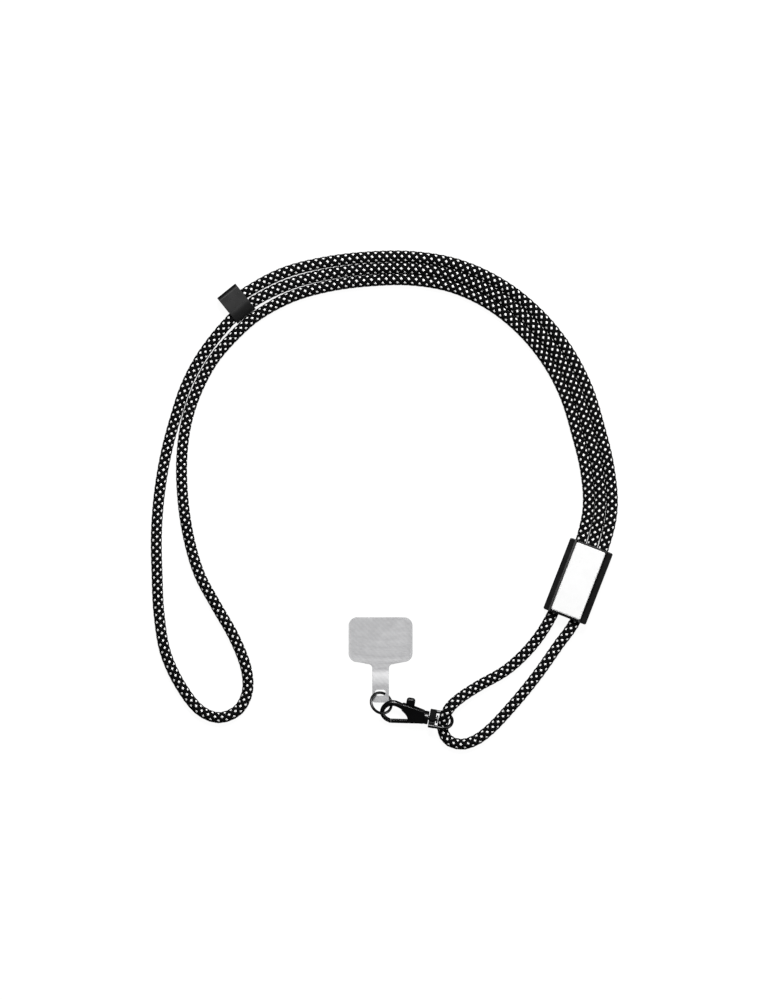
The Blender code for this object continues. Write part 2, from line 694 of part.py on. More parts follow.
def build_gate(group, cutters, material, axis):
    """The bar that closes the claw, its web on the pivot pin and the stem up to the thumb knob."""
    pivot = hook_place(PIVOT_ALONG, PIVOT_ACROSS)
    tip_end = hook_place(CLAW_LINE[-1].along, CLAW_LINE[-1].across)
    bend = hook_place(GATE_BEND_ALONG, GATE_BEND_ACROSS)
    along = (bend - tip_end).normalized()
    side = Vector((-along.y, along.x, 0.0)) * GATE_THICKNESS / 2
    tip = tip_end + along * 2 * FIT_GAP
    stem = hook_place(STEM_ALONG, STEM_TOP_ACROSS)
    half_stem = Vector((STEM_WIDTH / 2, 0.0, 0.0))
    boss = GATE_BOSS_DIAMETER / 2
    web_side = hook_place(STEM_ALONG, 0.0)
    outline = [tip + side, tip - side, bend - side]
    outline += [pivot + Vector((math.cos(a), math.sin(a), 0.0)) * boss
                for a in GATE_BOSS_ARC]
    outline.append(web_side + half_stem + Vector((0.0, STEM_WIDTH / 2, 0.0)))
    outline += [stem + half_stem, stem - half_stem, web_side - half_stem, bend + side]
    outline = [(p - pivot)[:2] for p in outline]
    mesh = slab_mesh("hook_gate", outline, GATE_THICKNESS)
    gate = new_object("hook_gate", mesh, group, material, axis)
    gate.location = pivot
    bevel_edges(gate, GATE_EDGE, 1, 50)

    left = hook_place(STEM_ALONG, KNOB_BASE_LEFT) - pivot - Vector((KNOB_WIDTH / 2, 0.0, 0.0))
    right = hook_place(STEM_ALONG, KNOB_BASE_RIGHT) - pivot + Vector((KNOB_WIDTH / 2, 0.0, 0.0))
    shoulder = KNOB_TOP * HOOK_WIDTH - pivot.y - KNOB_TOP_ROUND
    quarter = math.pi / 2
    knob = [left[:2], right[:2]]
    knob += round_corner((right.x - KNOB_TOP_ROUND, shoulder), KNOB_TOP_ROUND, 0.0, quarter)
    knob += round_corner((left.x + KNOB_TOP_ROUND, shoulder), KNOB_TOP_ROUND, quarter, quarter)
    tool = combine(gate, "thumb knob", slab_mesh("thumb knob", knob, KNOB_DEPTH), "UNION", cutters)
    bevel_edges(tool, KNOB_EDGE, 2, 60)
    hole_start = (0.0, 0.0, -GATE_THICKNESS)
    hole = rod_mesh("pivot hole", PIN_DIAMETER + 2 * FIT_GAP, hole_start, 2 * GATE_THICKNESS, "Z", 12)
    combine(gate, "pivot hole", hole, "DIFFERENCE", cutters)


def ring_middle():
    return hook_matrix() @ (hook_place(RING_ALONG, RING_ACROSS) - Vector((0.0, 0.0, RING_DROP)))


def build_ring(group, material):
    bpy.ops.mesh.primitive_torus_add(
        major_segments=36, minor_segments=8, major_radius=RING_DIAMETER / 2, minor_radius=RING_WIRE / 2
    )
    ring = bpy.context.object
    for other in list(ring.users_collection):
        other.objects.unlink(ring)
    group.objects.link(ring)
    ring.name = "ring"
    ring.data.materials.append(material)
    ring.data.shade_smooth()
    lean = Vector((-math.sin(RING_LOW_SIDE), math.cos(RING_LOW_SIDE), 0.0))
    ring.matrix_world = Matrix.Translation(ring_middle()) @ Matrix.Rotation(RING_TILT, 4, lean)


def build_tab(group, cutters, material):
    """A flat foot with a tongue that rises over the surface to the ring."""
    half_foot, half_tongue = TAB_WIDTH / 2, TONGUE_WIDTH / 2
    quarter = math.pi / 2
    near, far = TONGUE_LENGTH, TONGUE_LENGTH + TAB_LENGTH
    root = (half_tongue + TONGUE_FILLET, near - TONGUE_FILLET)
    side = half_foot - TAB_CORNER
    outline = round_corner((half_tongue - TONGUE_CORNER, TONGUE_CORNER), TONGUE_CORNER, -quarter, quarter)
    outline += round_corner(root, TONGUE_FILLET, 2 * quarter, -quarter)
    outline += round_corner((side, near + TAB_SHOULDER_DROP + TAB_CORNER), TAB_CORNER, -quarter, quarter)
    outline += round_corner((side, far - TAB_CORNER), TAB_CORNER, 0.0, quarter)
    outline += [(-x, y) for x, y in reversed(outline)]

    mesh = slab_mesh("tether_tab", outline, TAB_THICKNESS)
    slot = slab_mesh("tab slot", rounded_rectangle(
        SLOT_SIDE - SLOT_WIDTH / 2, SLOT_SIDE + SLOT_WIDTH / 2,
        SLOT_FROM_END - SLOT_LENGTH / 2, SLOT_FROM_END + SLOT_LENGTH / 2, SLOT_END_ROUND
    ), 2 * TAB_THICKNESS)
    flat = new_object("tab blank", mesh, cutters)
    combine(flat, "tab slot", slot, "DIFFERENCE", cutters)
    bpy.context.view_layer.update()
    mesh = bpy.data.meshes.new_from_object(flat.evaluated_get(bpy.context.evaluated_depsgraph_get()))
    flat.hide_render = True
    flat.display_type = "WIRE"

    shape = bmesh.new()
    shape.from_mesh(mesh)
    level_end = SLOT_FROM_END + SLOT_LENGTH
    rise_start = near - TONGUE_FILLET
    for step in range(TONGUE_BEND_STEPS + 1):
        y = level_end + (rise_start - level_end) * step / TONGUE_BEND_STEPS
        bmesh.ops.bisect_plane(shape, geom=shape.verts[:] + shape.edges[:] + shape.faces[:],
                               plane_co=(0.0, y, 0.0), plane_no=(0.0, 1.0, 0.0))
    for vert in shape.verts:
        share = min(1.0, max(0.0, (rise_start - vert.co.y) / (rise_start - level_end)))
        ease = share * share * (3 - 2 * share)
        vert.co.z += TAB_THICKNESS / 2 + ease * (TONGUE_LIFT + TONGUE_ROLL * vert.co.x)
    shape.to_mesh(mesh)
    shape.free()
    tab = new_object("tether_tab", mesh, group, material)
    middle = ring_middle()
    tab.location = (middle.x + TONGUE_END_SIDE, middle.y + TONGUE_END_BACK, 0.0)


def main():
    clear_scene()
    group = new_collection("phone lanyard")
    cutters = new_collection("cutters")
    rope_material = new_material("braided rope", (0.05, 0.05, 0.05), 0.8)
    metal = new_material("black metal", (0.02, 0.02, 0.02), 0.35, 0.6)
    clip_metal = new_material("satin black metal", (0.05, 0.05, 0.05), 0.4, 0.6)
    plastic = new_material("black plastic", (0.02, 0.02, 0.02), 0.4)
    white = new_material("white plastic", (0.9, 0.9, 0.9), 0.45)
    clear = new_material("milky tab plastic", (0.8, 0.8, 0.82), 0.35, 0.0, 0.5)

    build_rope(group, rope_material)
    build_clip(group, cutters, clip_metal)
    build_slider(group, cutters, plastic, white)
    build_eye(group, cutters, metal)
    axis = new_empty("swivel axis", hook_matrix(), group)
    build_hook(group, cutters, metal, axis)
    build_gate(group, cutters, metal, axis)
    build_ring(group, metal)
    build_tab(group, cutters, clear)


main()
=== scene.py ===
"""The finished look of a rope phone lanyard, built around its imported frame.

The rope is a round braid of separate yarns over a dark core. The clip, the adjuster, the trigger hook, the
swivel eye, the ring and the tether tab get fine meshes in place of the frame's plain solids.
Sizes are in metres, +Z is up and the surface that the lanyard lies on is at z = 0.
"""

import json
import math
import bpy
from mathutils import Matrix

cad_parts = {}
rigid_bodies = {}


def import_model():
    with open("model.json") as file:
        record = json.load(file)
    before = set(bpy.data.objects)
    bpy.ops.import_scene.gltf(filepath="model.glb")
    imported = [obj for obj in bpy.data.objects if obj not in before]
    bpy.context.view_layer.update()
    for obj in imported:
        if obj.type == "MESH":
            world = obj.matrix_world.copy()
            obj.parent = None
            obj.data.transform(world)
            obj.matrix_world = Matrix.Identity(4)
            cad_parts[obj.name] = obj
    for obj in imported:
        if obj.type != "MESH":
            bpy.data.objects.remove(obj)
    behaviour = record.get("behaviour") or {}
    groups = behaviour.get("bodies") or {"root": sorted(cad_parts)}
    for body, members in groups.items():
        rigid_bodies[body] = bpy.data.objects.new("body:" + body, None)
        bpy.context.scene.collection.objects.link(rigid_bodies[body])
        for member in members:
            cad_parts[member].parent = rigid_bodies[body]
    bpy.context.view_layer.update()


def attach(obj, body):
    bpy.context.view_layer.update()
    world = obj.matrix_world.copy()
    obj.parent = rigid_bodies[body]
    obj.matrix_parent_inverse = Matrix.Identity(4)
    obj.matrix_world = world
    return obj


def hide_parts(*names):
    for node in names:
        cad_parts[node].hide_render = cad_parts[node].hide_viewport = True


bl_info = {
    "name": "Rope phone lanyard",
    "version": (1, 0, 0),
    "blender": (4, 5, 0),
    "location": "View3D > Sidebar > Lanyard",
    "description": "Braided rope, clip, adjuster, trigger hook, ring and tab of a phone lanyard",
    "category": "Add Mesh",
}

from collections import namedtuple

import bmesh
import bpy
import numpy as np
from bpy.props import FloatProperty, FloatVectorProperty, IntProperty, PointerProperty
from bpy.types import Operator, Panel, PropertyGroup
from mathutils import Matrix, Vector

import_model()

MM = 0.001
FULL_TURN = 2 * math.pi
QUARTER = math.pi / 2

# The rope's route, in metres. Lift is the rope's height above the surface, and spread widens
# the strands of a bundle.
RoutePoint = namedtuple("RoutePoint", "x y lift")
BundlePoint = namedtuple("BundlePoint", "x y spread")

# Middle of the three strands, from the adjuster round to the clip.
BUNDLE_ROUTE = [BundlePoint(*row) for row in (
    (0.0868, -0.0010, 1.0), (0.0856, 0.0170, 0.98), (0.0812, 0.0358, 0.98), (0.0754, 0.0544, 0.98),
    (0.0664, 0.0714, 0.98), (0.0536, 0.0870, 0.98), (0.0374, 0.0998, 0.98), (0.0186, 0.1084, 0.98),
    (-0.0016, 0.1119, 0.98), (-0.0220, 0.1116, 1.0), (-0.0418, 0.1091, 1.02), (-0.0602, 0.1041, 1.06),
)]

# Middle of the two strands below the clip, downwards.
PAIR_ROUTE = [BundlePoint(*row) for row in (
    (-0.0966, 0.0712, 1.0), (-0.1048, 0.0564, 1.0), (-0.1100, 0.0410, 1.0), (-0.1134, 0.0240, 1.38),
)]
PAIR_HEADING = Vector((-0.1147, 0.0050, 0.0))

NECK_ROUTE = [RoutePoint(*row) for row in (
    (-0.1092, 0.0040, 0.0), (-0.1063, -0.0152, 0.0), (-0.1013, -0.0320, 0.0), (-0.0935, -0.0466, 0.0),
    (-0.0849, -0.0618, 0.0), (-0.0793, -0.0768, 0.0), (-0.0790, -0.0874, 0.0), (-0.0834, -0.0956, 0.0),
    (-0.0920, -0.0991, 0.0), (-0.1006, -0.0960, 0.0), (-0.1094, -0.0854, 0.0), (-0.1172, -0.0690, 0.0),
    (-0.1204, -0.0500, 0.0), (-0.1213, -0.0320, 0.0), (-0.1216, -0.0130, 0.0), (-0.1202, 0.0060, 0.0),
)]

HOOK_ROUTE = [RoutePoint(*row) for row in (
    (0.0669, -0.0654, 0.0003), (0.0572, -0.0792, 0.0), (0.0465, -0.0924, 0.0), (0.0350, -0.1047, 0.0),
    (0.0282, -0.1097, 0.0), (0.0220, -0.1116, 0.0), (0.0164, -0.1102, 0.0), (0.0135, -0.1068, 0.0),
    (0.0129, -0.1026, 0.0003), (0.0140, -0.0982, 0.0022), (0.0166, -0.0938, 0.0028),
    (0.0218, -0.0893, 0.0017), (0.0296, -0.0843, 0.0004), (0.0433, -0.0763, 0.0),
    (0.0554, -0.0645, 0.0004),
)]

# Middle line of the claw from the hook's body round to its open tip. Along is the share of the hook's reach
# from the collar, across the share of its width, thick the share between tip and root diameter.
ClawPoint = namedtuple("ClawPoint", "along across thick")
CLAW_LINE = [ClawPoint(*row) for row in (
    (0.550, 0.320, 1.0), (0.620, 0.385, 1.0), (0.700, 0.445, 1.0), (0.790, 0.465, 1.0),
    (0.880, 0.400, 0.9), (0.958, 0.230, 0.5), (0.995, 0.020, 0.2), (0.990, -0.180, 0.1),
    (0.935, -0.360, 0.1), (0.860, -0.465, 0.1), (0.780, -0.505, 0.0),
)]

# Side view of the hook's body and of the slot for its gate, as shares of the same two sizes.
OutlinePoint = namedtuple("OutlinePoint", "along across")
BODY_OUTLINE = [OutlinePoint(*row) for row in (
    (0.080, 0.322), (0.080, -0.322), (0.170, -0.330), (0.425, -0.435), (0.436, -0.195), (0.468, -0.055),
    (0.528, 0.085), (0.612, 0.215), (0.610, 0.535), (0.510, 0.517), (0.315, 0.444),
)]
SLOT_OUTLINE = [OutlinePoint(*row) for row in (
    (0.595, -0.750), (0.595, -0.050), (0.520, 0.150), (0.520, 0.750), (0.225, 0.750), (0.215, 0.050),
    (0.185, -0.200), (0.215, -0.340), (0.280, -0.750),
)]
PIVOT = OutlinePoint(0.295, -0.175)
GATE_BEND = OutlinePoint(0.420, -0.370)
STEM_ALONG = 0.432
STEM_TOP = 0.620
KNOB_BASE_LEFT = 0.570
KNOB_BASE_RIGHT = 0.500
KNOB_TOP = 0.875
RING_PLACE = OutlinePoint(1.049, 0.332)

# Edges sharper than this stay crisp, and points closer than this are one.
CRISP_ANGLE = math.radians(25)
WELD = 0.001 * MM

# Direction from the pivot in which the gate's round end starts.
BOSS_START = math.radians(-110)

# The two softboxes: place from the point that they aim at, and width, in metres.
KEY_PLACE, KEY_WIDTH = (0.1, 0.95, 1.35), 0.6
FILL_PLACE, FILL_WIDTH = (1.3, -0.1, 0.9), 0.7


def length(name, millimetres, description):
    return FloatProperty(name=name, description=description, default=millimetres * MM, unit="LENGTH")


def turn(name, degrees, description):
    default = math.radians(degrees)
    return FloatProperty(name=name, description=description, default=default, unit="ROTATION")


def count(name, default, description):
    return IntProperty(name=name, description=description, default=default)


def place(name, millimetres, description):
    default = [value * MM for value in millimetres]
    return FloatVectorProperty(name=name, description=description, default=default, unit="LENGTH")


def colour(name, default, description):
    return FloatVectorProperty(name=name, description=description, default=default, subtype="COLOR")


class RopeSettings(PropertyGroup):
    diameter: length("Diameter", 5.0, "Outside diameter")
    strand_gap: length("Strand gap", 0.5, "Gap between strands side by side")
    station_spacing: length("Station spacing", 18.0, "Spacing of the stations along a bundle")
    carriers: count("Carriers each way", 8, "Yarns that turn each way round the rope")
    stitch: length("Stitch", 0.875, "Length of rope from one crossing of a yarn to the next")
    stitch_rings: count("Rings a stitch", 2, "Rings of the yarn's mesh from crossing to crossing")
    yarn_sides: count("Yarn sides", 8, "Sides of a yarn's section")
    dark_width: length("Dark yarn width", 1.7, "Width of a black yarn")
    light_width: length("Light yarn width", 1.14, "Width of a white yarn")
    dark_thickness: length("Dark yarn thickness", 0.66, "Thickness of a black yarn")
    light_thickness: length("Light yarn thickness", 0.46, "Thickness of a white yarn")
    weave_depth: length("Weave depth", 0.16, "How far a yarn rises and dips about its mean")
    proud: length("Proud", 0.19, "How far the braid swells beyond half the nominal diameter")
    swell: length("Swell", 0.16, "How much further the braid swells in the bundle of three strands")
    core_radius: length("Core radius", 1.85, "Radius of the core under the yarns")
    real_length: length("Length", 1480.0, "Real length of the rope from end to end")
    dark: colour("Dark yarn", (0.0016, 0.0016, 0.0018), "Colour of the black yarns")
    light: colour("Light yarn", (0.9, 0.9, 0.89), "Colour of the white yarns")


class ClipSettings(PropertyGroup):
    middle: place("Middle", (-81.4, 92.1, 0.0), "Middle of the open cell, on the surface")
    angle: turn("Angle", 38.8, "Turn of the cells from +X")
    length: length("Length", 11.0, "Length along the rope")
    wall: length("Wall", 0.8, "Sheet thickness")
    seam_wall: length("Seam wall", 3.5, "Folded wall outside the blind cell")
    seam_round: length("Seam round", 2.2, "Radius of the folded wall's two bends")
    crest: length("Crest", 2.0, "Where the flat top starts to bend down, from the open cell's middle")
    cell_round: length("Cell round", 0.8, "Corner radius of the blind cell")
    edge: length("Edge", 0.2, "Rounding of the two end rims")
    fit_gap: length("Fit gap", 0.3, "Gap from the rope to the hardware round it")
    paint: colour("Paint", (0.004, 0.004, 0.0042), "Colour of the satin paint")


class SliderSettings(PropertyGroup):
    middle: place("Middle", (76.4, -35.0, 0.0), "Middle of the adjuster, on the surface")
    angle: turn("Angle", -21.2, "Turn of the channels from +Y")
    length: length("Length", 35.8, "Length along the channels")
    wall: length("Side wall", 2.3, "Wall beside the outer channels")
    floor: length("Floor", 1.2, "Thickness under the channels")
    roof: length("Roof", 1.0, "Thickness above the channels")
    corner: length("Corner", 0.8, "Radius of the outline's corners")
    edge: length("Edge", 0.4, "Rounding of the top and bottom rims")
    end_stop: length("End stop", 5.0, "Wall behind the rope's end in the middle channel")
    rail_width: length("Rail width", 3.4, "Width of the rail each side of the plate")
    rail_rise: length("Rail rise", 0.4, "Height of the rails above the plate")
    rail_slope: length("Rail slope", 0.8, "Width of the slope along the inside of the rails")
    rail_slope_depth: length("Rail slope depth", 0.4, "Depth of that slope")
    plate_thickness: length("Plate thickness", 0.8, "Thickness of the white plate")
    top_lip: length("Top lip", 0.8, "Frame beyond the plate's upper end")
    bottom_lip: length("Bottom lip", 1.2, "Frame beyond the plate's lower end")
    plate_corner: length("Plate corner", 0.8, "Radius of the plate's corners")
    plate_edge: length("Plate edge", 0.6, "Rounding of the plate's upper rim")
    plastic: colour("Plastic", (0.0022, 0.0022, 0.0024), "Colour of the frame")
    plate: colour("Plate", (0.82, 0.82, 0.82), "Colour of the plate")


class HookSettings(PropertyGroup):
    start: place("Swivel start", (6.2, -99.2, 3.75), "Face of the collar on the swivel's axis")
    angle: turn("Angle", -10.0, "Turn of the swivel's axis from +X")
    roll: turn("Hook roll", 15.0, "Turn of the hook about the swivel's axis")
    reach: length("Reach", 22.0, "Length of the hook from collar to claw")
    width: length("Width", 9.0, "Width that the outline's shares are taken of")
    body_height: length("Body height", 4.6, "Thickness of the body")
    body_edge: length("Body edge", 0.5, "Rounding of the body's rims")
    body_corner: length("Body corner", 1.1, "Rounding of the outline's corners")
    claw_root: length("Claw root", 2.8, "Diameter of the claw at the body")
    claw_tip: length("Claw tip", 2.0, "Diameter of the claw at its tip")
    post: length("Post", 2.0, "Diameter of the swivel post")
    post_head: length("Post head", 3.8, "Diameter of the post's head")
    post_head_height: length("Post head height", 0.7, "Thickness of the post's head")
    collar: length("Collar", 6.3, "Diameter of the collar")
    collar_length: length("Collar length", 2.2, "Length of the collar")
    collar_edge: length("Collar edge", 0.4, "Rounding of the collar's rims")
    gate_thickness: length("Gate thickness", 1.8, "Thickness of the gate")
    gate_boss: length("Gate boss", 3.6, "Diameter of the gate round its pivot")
    gate_edge: length("Gate edge", 0.3, "Rounding of the gate's rims")
    gate_gap: length("Gate gap", 0.08, "Gap from the gate's tip to the claw")
    stem: length("Stem", 2.5, "Width of the stem under the knob")
    pin: length("Pin", 1.2, "Diameter of the pivot pin")
    knob_width: length("Knob width", 4.1, "Width of the thumb knob")
    knob_depth: length("Knob depth", 3.6, "Depth of the thumb knob")
    knob_round: length("Knob round", 1.3, "Radius of the knob's two top corners")
    knob_edge: length("Knob edge", 0.5, "Rounding of the knob's rims")
    eye_tilt: turn("Eye tilt", -37.0, "Turn of the eye about the swivel's axis")
    eye_wire: length("Eye wire", 1.6, "Diameter of the eye's bow")
    eye_width: length("Eye width", 8.8, "Distance between the bow's two sides")
    eye_reach: length("Eye reach", 11.2, "Distance from the collar to the middle of the bow's end")
    eye_base: length("Eye base", 3.1, "Length of the base block")
    eye_height: length("Eye base height", 3.8, "Height of the base block at its boss")
    eye_boss: length("Eye boss", 4.4, "Width of the base block's boss")
    eye_round: length("Eye base round", 0.9, "Radius of the base block's two ends")
    eye_edge: length("Eye base edge", 0.3, "Rounding of the base block's rims")
    fit_gap: length("Fit gap", 0.3, "Gap between moving pieces")
    paint: colour("Paint", (0.001, 0.001, 0.0011), "Colour of the semi-gloss paint")


class TabSettings(PropertyGroup):
    ring: length("Ring", 10.2, "Diameter of the ring's middle line")
    ring_wire: length("Ring wire", 1.3, "Diameter of the ring's wire")
    ring_tilt: turn("Ring tilt", 30.0, "Slope of the ring")
    ring_low_side: turn("Ring low side", 44.0, "Direction that the ring slopes down to, from -X")
    ring_drop: length("Ring drop", 0.593, "How far the ring's middle lies under the hook's plane")
    thickness: length("Tab thickness", 0.7, "Thickness of the sheet")
    edge: length("Edge", 0.12, "Rounding of the sheet's rims")
    foot_length: length("Foot length", 22.0, "Length of the wide foot")
    foot_width: length("Foot width", 30.0, "Width of the foot")
    foot_corner: length("Foot corner", 4.0, "Radius of the foot's corners")
    shoulder_drop: length("Shoulder drop", 1.0, "How far the foot's shoulders slope")
    tongue_length: length("Tongue length", 18.0, "Length of the tongue")
    tongue_width: length("Tongue width", 7.8, "Width of the tongue")
    tongue_corner: length("Tongue corner", 1.2, "Radius of the tongue's end corners")
    tongue_fillet: length("Tongue fillet", 2.0, "Radius between tongue and foot")
    tongue_side: length("Tongue side", -0.3, "Place of the tongue's middle from the ring's middle, along X")
    tongue_back: length("Tongue back", 0.2, "Place of the tongue's end from the ring's middle, along Y")
    tongue_lift: length("Tongue lift", 2.15, "How far the tongue's end rises")
    slot_width: length("Slot width", 5.0, "Width of the slot for the ring")
    slot_length: length("Slot length", 2.8, "Length of the slot")
    slot_round: length("Slot round", 1.3, "Radius of the slot's corners")
    slot_from_end: length("Slot from end", 4.6, "Distance from the tongue's end to the slot's middle")
    slot_side: length("Slot side", -0.1, "Place of the slot across the tongue")
    tongue_roll: FloatProperty(name="Tongue roll", description="Rise across the tongue's end", default=0.16)
    milk: colour("Milk", (0.47, 0.47, 0.48), "Colour of the milky plastic")


class StageSettings(PropertyGroup):
    camera_height: length("Camera height", 4000.0, "Height of the camera above the surface")
    frame_height: length("Frame height", 470.0, "Height of the surface that fills the frame")
    aim: place("Aim", (-14.0, 3.1, 0.0), "Point of the surface in the middle of the frame")
    floor_size: length("Floor size", 6000.0, "Width of the floor")
    key_power: FloatProperty(name="Key power", description="Watts of the large light", default=35.0)
    fill_power: FloatProperty(name="Fill power", description="Watts of the light opposite", default=7.0)
    air: FloatProperty(name="Air", description="Strength of the light all round", default=0.06)


class Flow:
    """A shader output that can be added and multiplied. Each operator adds one Math node."""

    def __init__(self, tree, socket):
        self.tree = tree
        self.socket = socket

    def math(self, operation, other=None):
        node = self.tree.nodes.new("ShaderNodeMath")
        node.operation = operation
        self.tree.links.new(self.socket, node.inputs[0])
        if isinstance(other, Flow):
            self.tree.links.new(other.socket, node.inputs[1])
        elif other is not None:
            node.inputs[1].default_value = other
        return Flow(self.tree, node.outputs[0])

    def __add__(self, other):
        return self.math("ADD", other)

    def __mul__(self, other):
        return self.math("MULTIPLY", other)

    def sine(self):
        return self.math("SINE")


class Finish:
    """A material: its Principled shader, set by constants, and the nodes that feed it."""

    def __init__(self, name, **constants):
        self.material = bpy.data.materials.new(name)
        self.material.use_nodes = True
        self.tree = self.material.node_tree
        self.shader = self.tree.nodes["Principled BSDF"]
        for key, value in constants.items():
            self.shader.inputs[key.replace("_", " ")].default_value = value

    def node(self, kind, settings=None, **values):
        """Adds a node: its settings first, then the values or links of its sockets."""
        node = self.tree.nodes.new("ShaderNode" + kind)
        for name, value in (settings or {}).items():
            setattr(node, name, value)
        for name, value in values.items():
            self.put(node.inputs[name.replace("_", " ")], value)
        return node

    def put(self, socket, value):
        """Links a flow or a socket to the socket, or sets it to a constant."""
        if isinstance(value, Flow):
            self.tree.links.new(value.socket, socket)
        elif isinstance(value, bpy.types.NodeSocket):
            self.tree.links.new(value, socket)
        else:
            socket.default_value = value

    def feed(self, name, value):
        self.put(self.shader.inputs[name], value)

    def place(self):
        return self.node("TexCoord").outputs["Object"]

    def noise(self, scale, detail):
        node = self.node("TexNoise", Vector=self.place(), Scale=scale, Detail=detail)
        return Flow(self.tree, node.outputs["Fac"])

    def blend(self, share, low, high):
        """A colour from low to high as the share goes from 0 to 1."""
        node = self.node("Mix", {"data_type": "RGBA"})
        self.put(node.inputs["Factor"], share)
        self.put(node.inputs["A"], low)
        self.put(node.inputs["B"], high)
        return node.outputs["Result"]

    def bump(self, height, strength, distance):
        node = self.node("Bump", Height=height, Strength=strength, Distance=distance)
        self.put(self.shader.inputs["Normal"], node.outputs["Normal"])


def solid(tint, share=1.0):
    """The tint, times a share, as an opaque colour."""
    return (*(share * value for value in tint), 1.0)


def yarn_finish(name, tint, shade):
    """Spun yarn: fine filaments that twist round it, slightly uneven, from the tint to a share of it."""
    finish = Finish(name, Roughness=0.75, Sheen_Weight=0.01, Sheen_Roughness=0.4, Specular_IOR_Level=0.06)
    uv = finish.node("UVMap", {"uv_map": "yarn"}).outputs["UV"]
    parts = finish.node("SeparateXYZ", Vector=uv)
    along = Flow(finish.tree, parts.outputs["X"])
    around = Flow(finish.tree, parts.outputs["Y"])
    filaments_round = 14
    twists_a_metre = 420
    filaments = ((around * filaments_round + along * twists_a_metre) * FULL_TURN).sine()
    uneven = finish.noise(scale=900.0, detail=2.0)
    share = filaments * 0.22 + uneven * 0.6
    finish.feed("Base Color", finish.blend(share, solid(tint), solid(tint, shade)))
    filament_depth = 0.03 * MM
    finish.bump(filaments, strength=0.25, distance=filament_depth)
    return finish.material


def painted_finish(name, tint, roughness, grain, depth):
    """Paint on metal or moulded plastic: a fine pebble, uneven gloss and faint rubbed patches."""
    finish = Finish(name, Specular_IOR_Level=0.45)
    pebble = finish.noise(scale=1.0 / grain, detail=2.0)
    rubs = finish.noise(scale=260.0, detail=4.0)
    uneven_gloss = 0.16
    finish.feed("Base Color", finish.blend(rubs, solid(tint, 0.96), solid(tint, 1.03)))
    finish.feed("Roughness", rubs * uneven_gloss + (roughness - uneven_gloss / 2))
    finish.bump(pebble, strength=0.35, distance=depth)
    return finish.material


def milky_finish(name, tint):
    """Cloudy soft plastic with a faint slanting texture."""
    finish = Finish(name, Roughness=0.38, Alpha=0.76, Specular_IOR_Level=0.5)
    at = finish.node("SeparateXYZ", Vector=finish.place())
    slant = Flow(finish.tree, at.outputs["X"]) + Flow(finish.tree, at.outputs["Y"])
    radians_a_metre = 2600.0
    ribs = (slant * radians_a_metre).sine()
    cloud = finish.noise(scale=330.0, detail=3.0)
    share = cloud * 0.8 + ribs * 0.08
    finish.feed("Base Color", finish.blend(share, solid(tint, 0.82), solid(tint, 1.2)))
    rib_depth = 0.02 * MM
    finish.bump(ribs, strength=0.2, distance=rib_depth)
    return finish.material


def linked(name, data):
    """A new object of the scene that shows the data."""
    item = bpy.data.objects.new(name, data)
    bpy.context.scene.collection.objects.link(item)
    return item


def new_piece(name, mesh, material, body, slot, *nodes):
    """Gives a finished mesh its object, finish and body, and lets it stand for the nodes."""
    piece = linked(name, mesh)
    mesh.materials.clear()
    mesh.materials.append(material)
    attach(piece, body)
    if nodes:
        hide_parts(*nodes)
    return piece


def arc(centre, radius, start, sweep, steps=10):
    """Points on an arc round a centre, from the start angle through the sweep."""
    angles = [start + sweep * step / steps for step in range(steps + 1)]
    return [(centre[0] + radius * math.cos(a), centre[1] + radius * math.sin(a)) for a in angles]


def rounded_rectangle(x_low, x_high, y_low, y_high, radius):
    """The outline of a rectangle with round corners."""
    low_x, high_x, low_y, high_y = x_low + radius, x_high - radius, y_low + radius, y_high - radius
    outline = []
    for index, centre in enumerate([(high_x, high_y), (low_x, high_y), (low_x, low_y), (high_x, low_y)]):
        outline += arc(centre, radius, index * QUARTER, QUARTER, 6)
    return outline


def softened(outline, radius, steps=4):
    """The outline with each corner turned into a short curve."""
    longest_share = 0.45
    points = [Vector(point[:2]) for point in outline]
    soft = []
    for index, corner in enumerate(points):
        before, after = points[index - 1], points[(index + 1) % len(points)]
        start = corner + (before - corner) * min(longest_share, radius / (before - corner).length)
        end = corner + (after - corner) * min(longest_share, radius / (after - corner).length)
        for step in range(steps + 1):
            share = step / steps
            soft.append(start.lerp(corner, share).lerp(corner.lerp(end, share), share))
    return soft


def finished_mesh(name, shape):
    """The shape as a mesh with its faces outwards. The shape is freed."""
    bmesh.ops.recalc_face_normals(shape, faces=shape.faces[:])
    mesh = bpy.data.meshes.new(name)
    shape.to_mesh(mesh)
    shape.free()
    return mesh


def round_rims(shape, edge, segments):
    """Rounds the edges that lie level."""
    rims = [item for item in shape.edges if abs(item.verts[0].co.z - item.verts[1].co.z) < edge / 10]
    bmesh.ops.bevel(shape, geom=rims, offset=edge, segments=segments, profile=0.5, affect="EDGES",
                    material=-1)


def slab(name, outline, low, high, edge=0.0, segments=4):
    """A flat outline raised from low to high, with its two rims rounded."""
    shape = bmesh.new()
    corners = [shape.verts.new((point[0], point[1], low)) for point in outline]
    base = shape.faces.new(corners)
    raised = bmesh.ops.extrude_face_region(shape, geom=[base])["geom"]
    raised = [item for item in raised if isinstance(item, bmesh.types.BMVert)]
    bmesh.ops.translate(shape, vec=(0.0, 0.0, high - low), verts=raised)
    bmesh.ops.recalc_face_normals(shape, faces=shape.faces[:])
    if edge:
        round_rims(shape, edge, segments)
    return finished_mesh(name, shape)


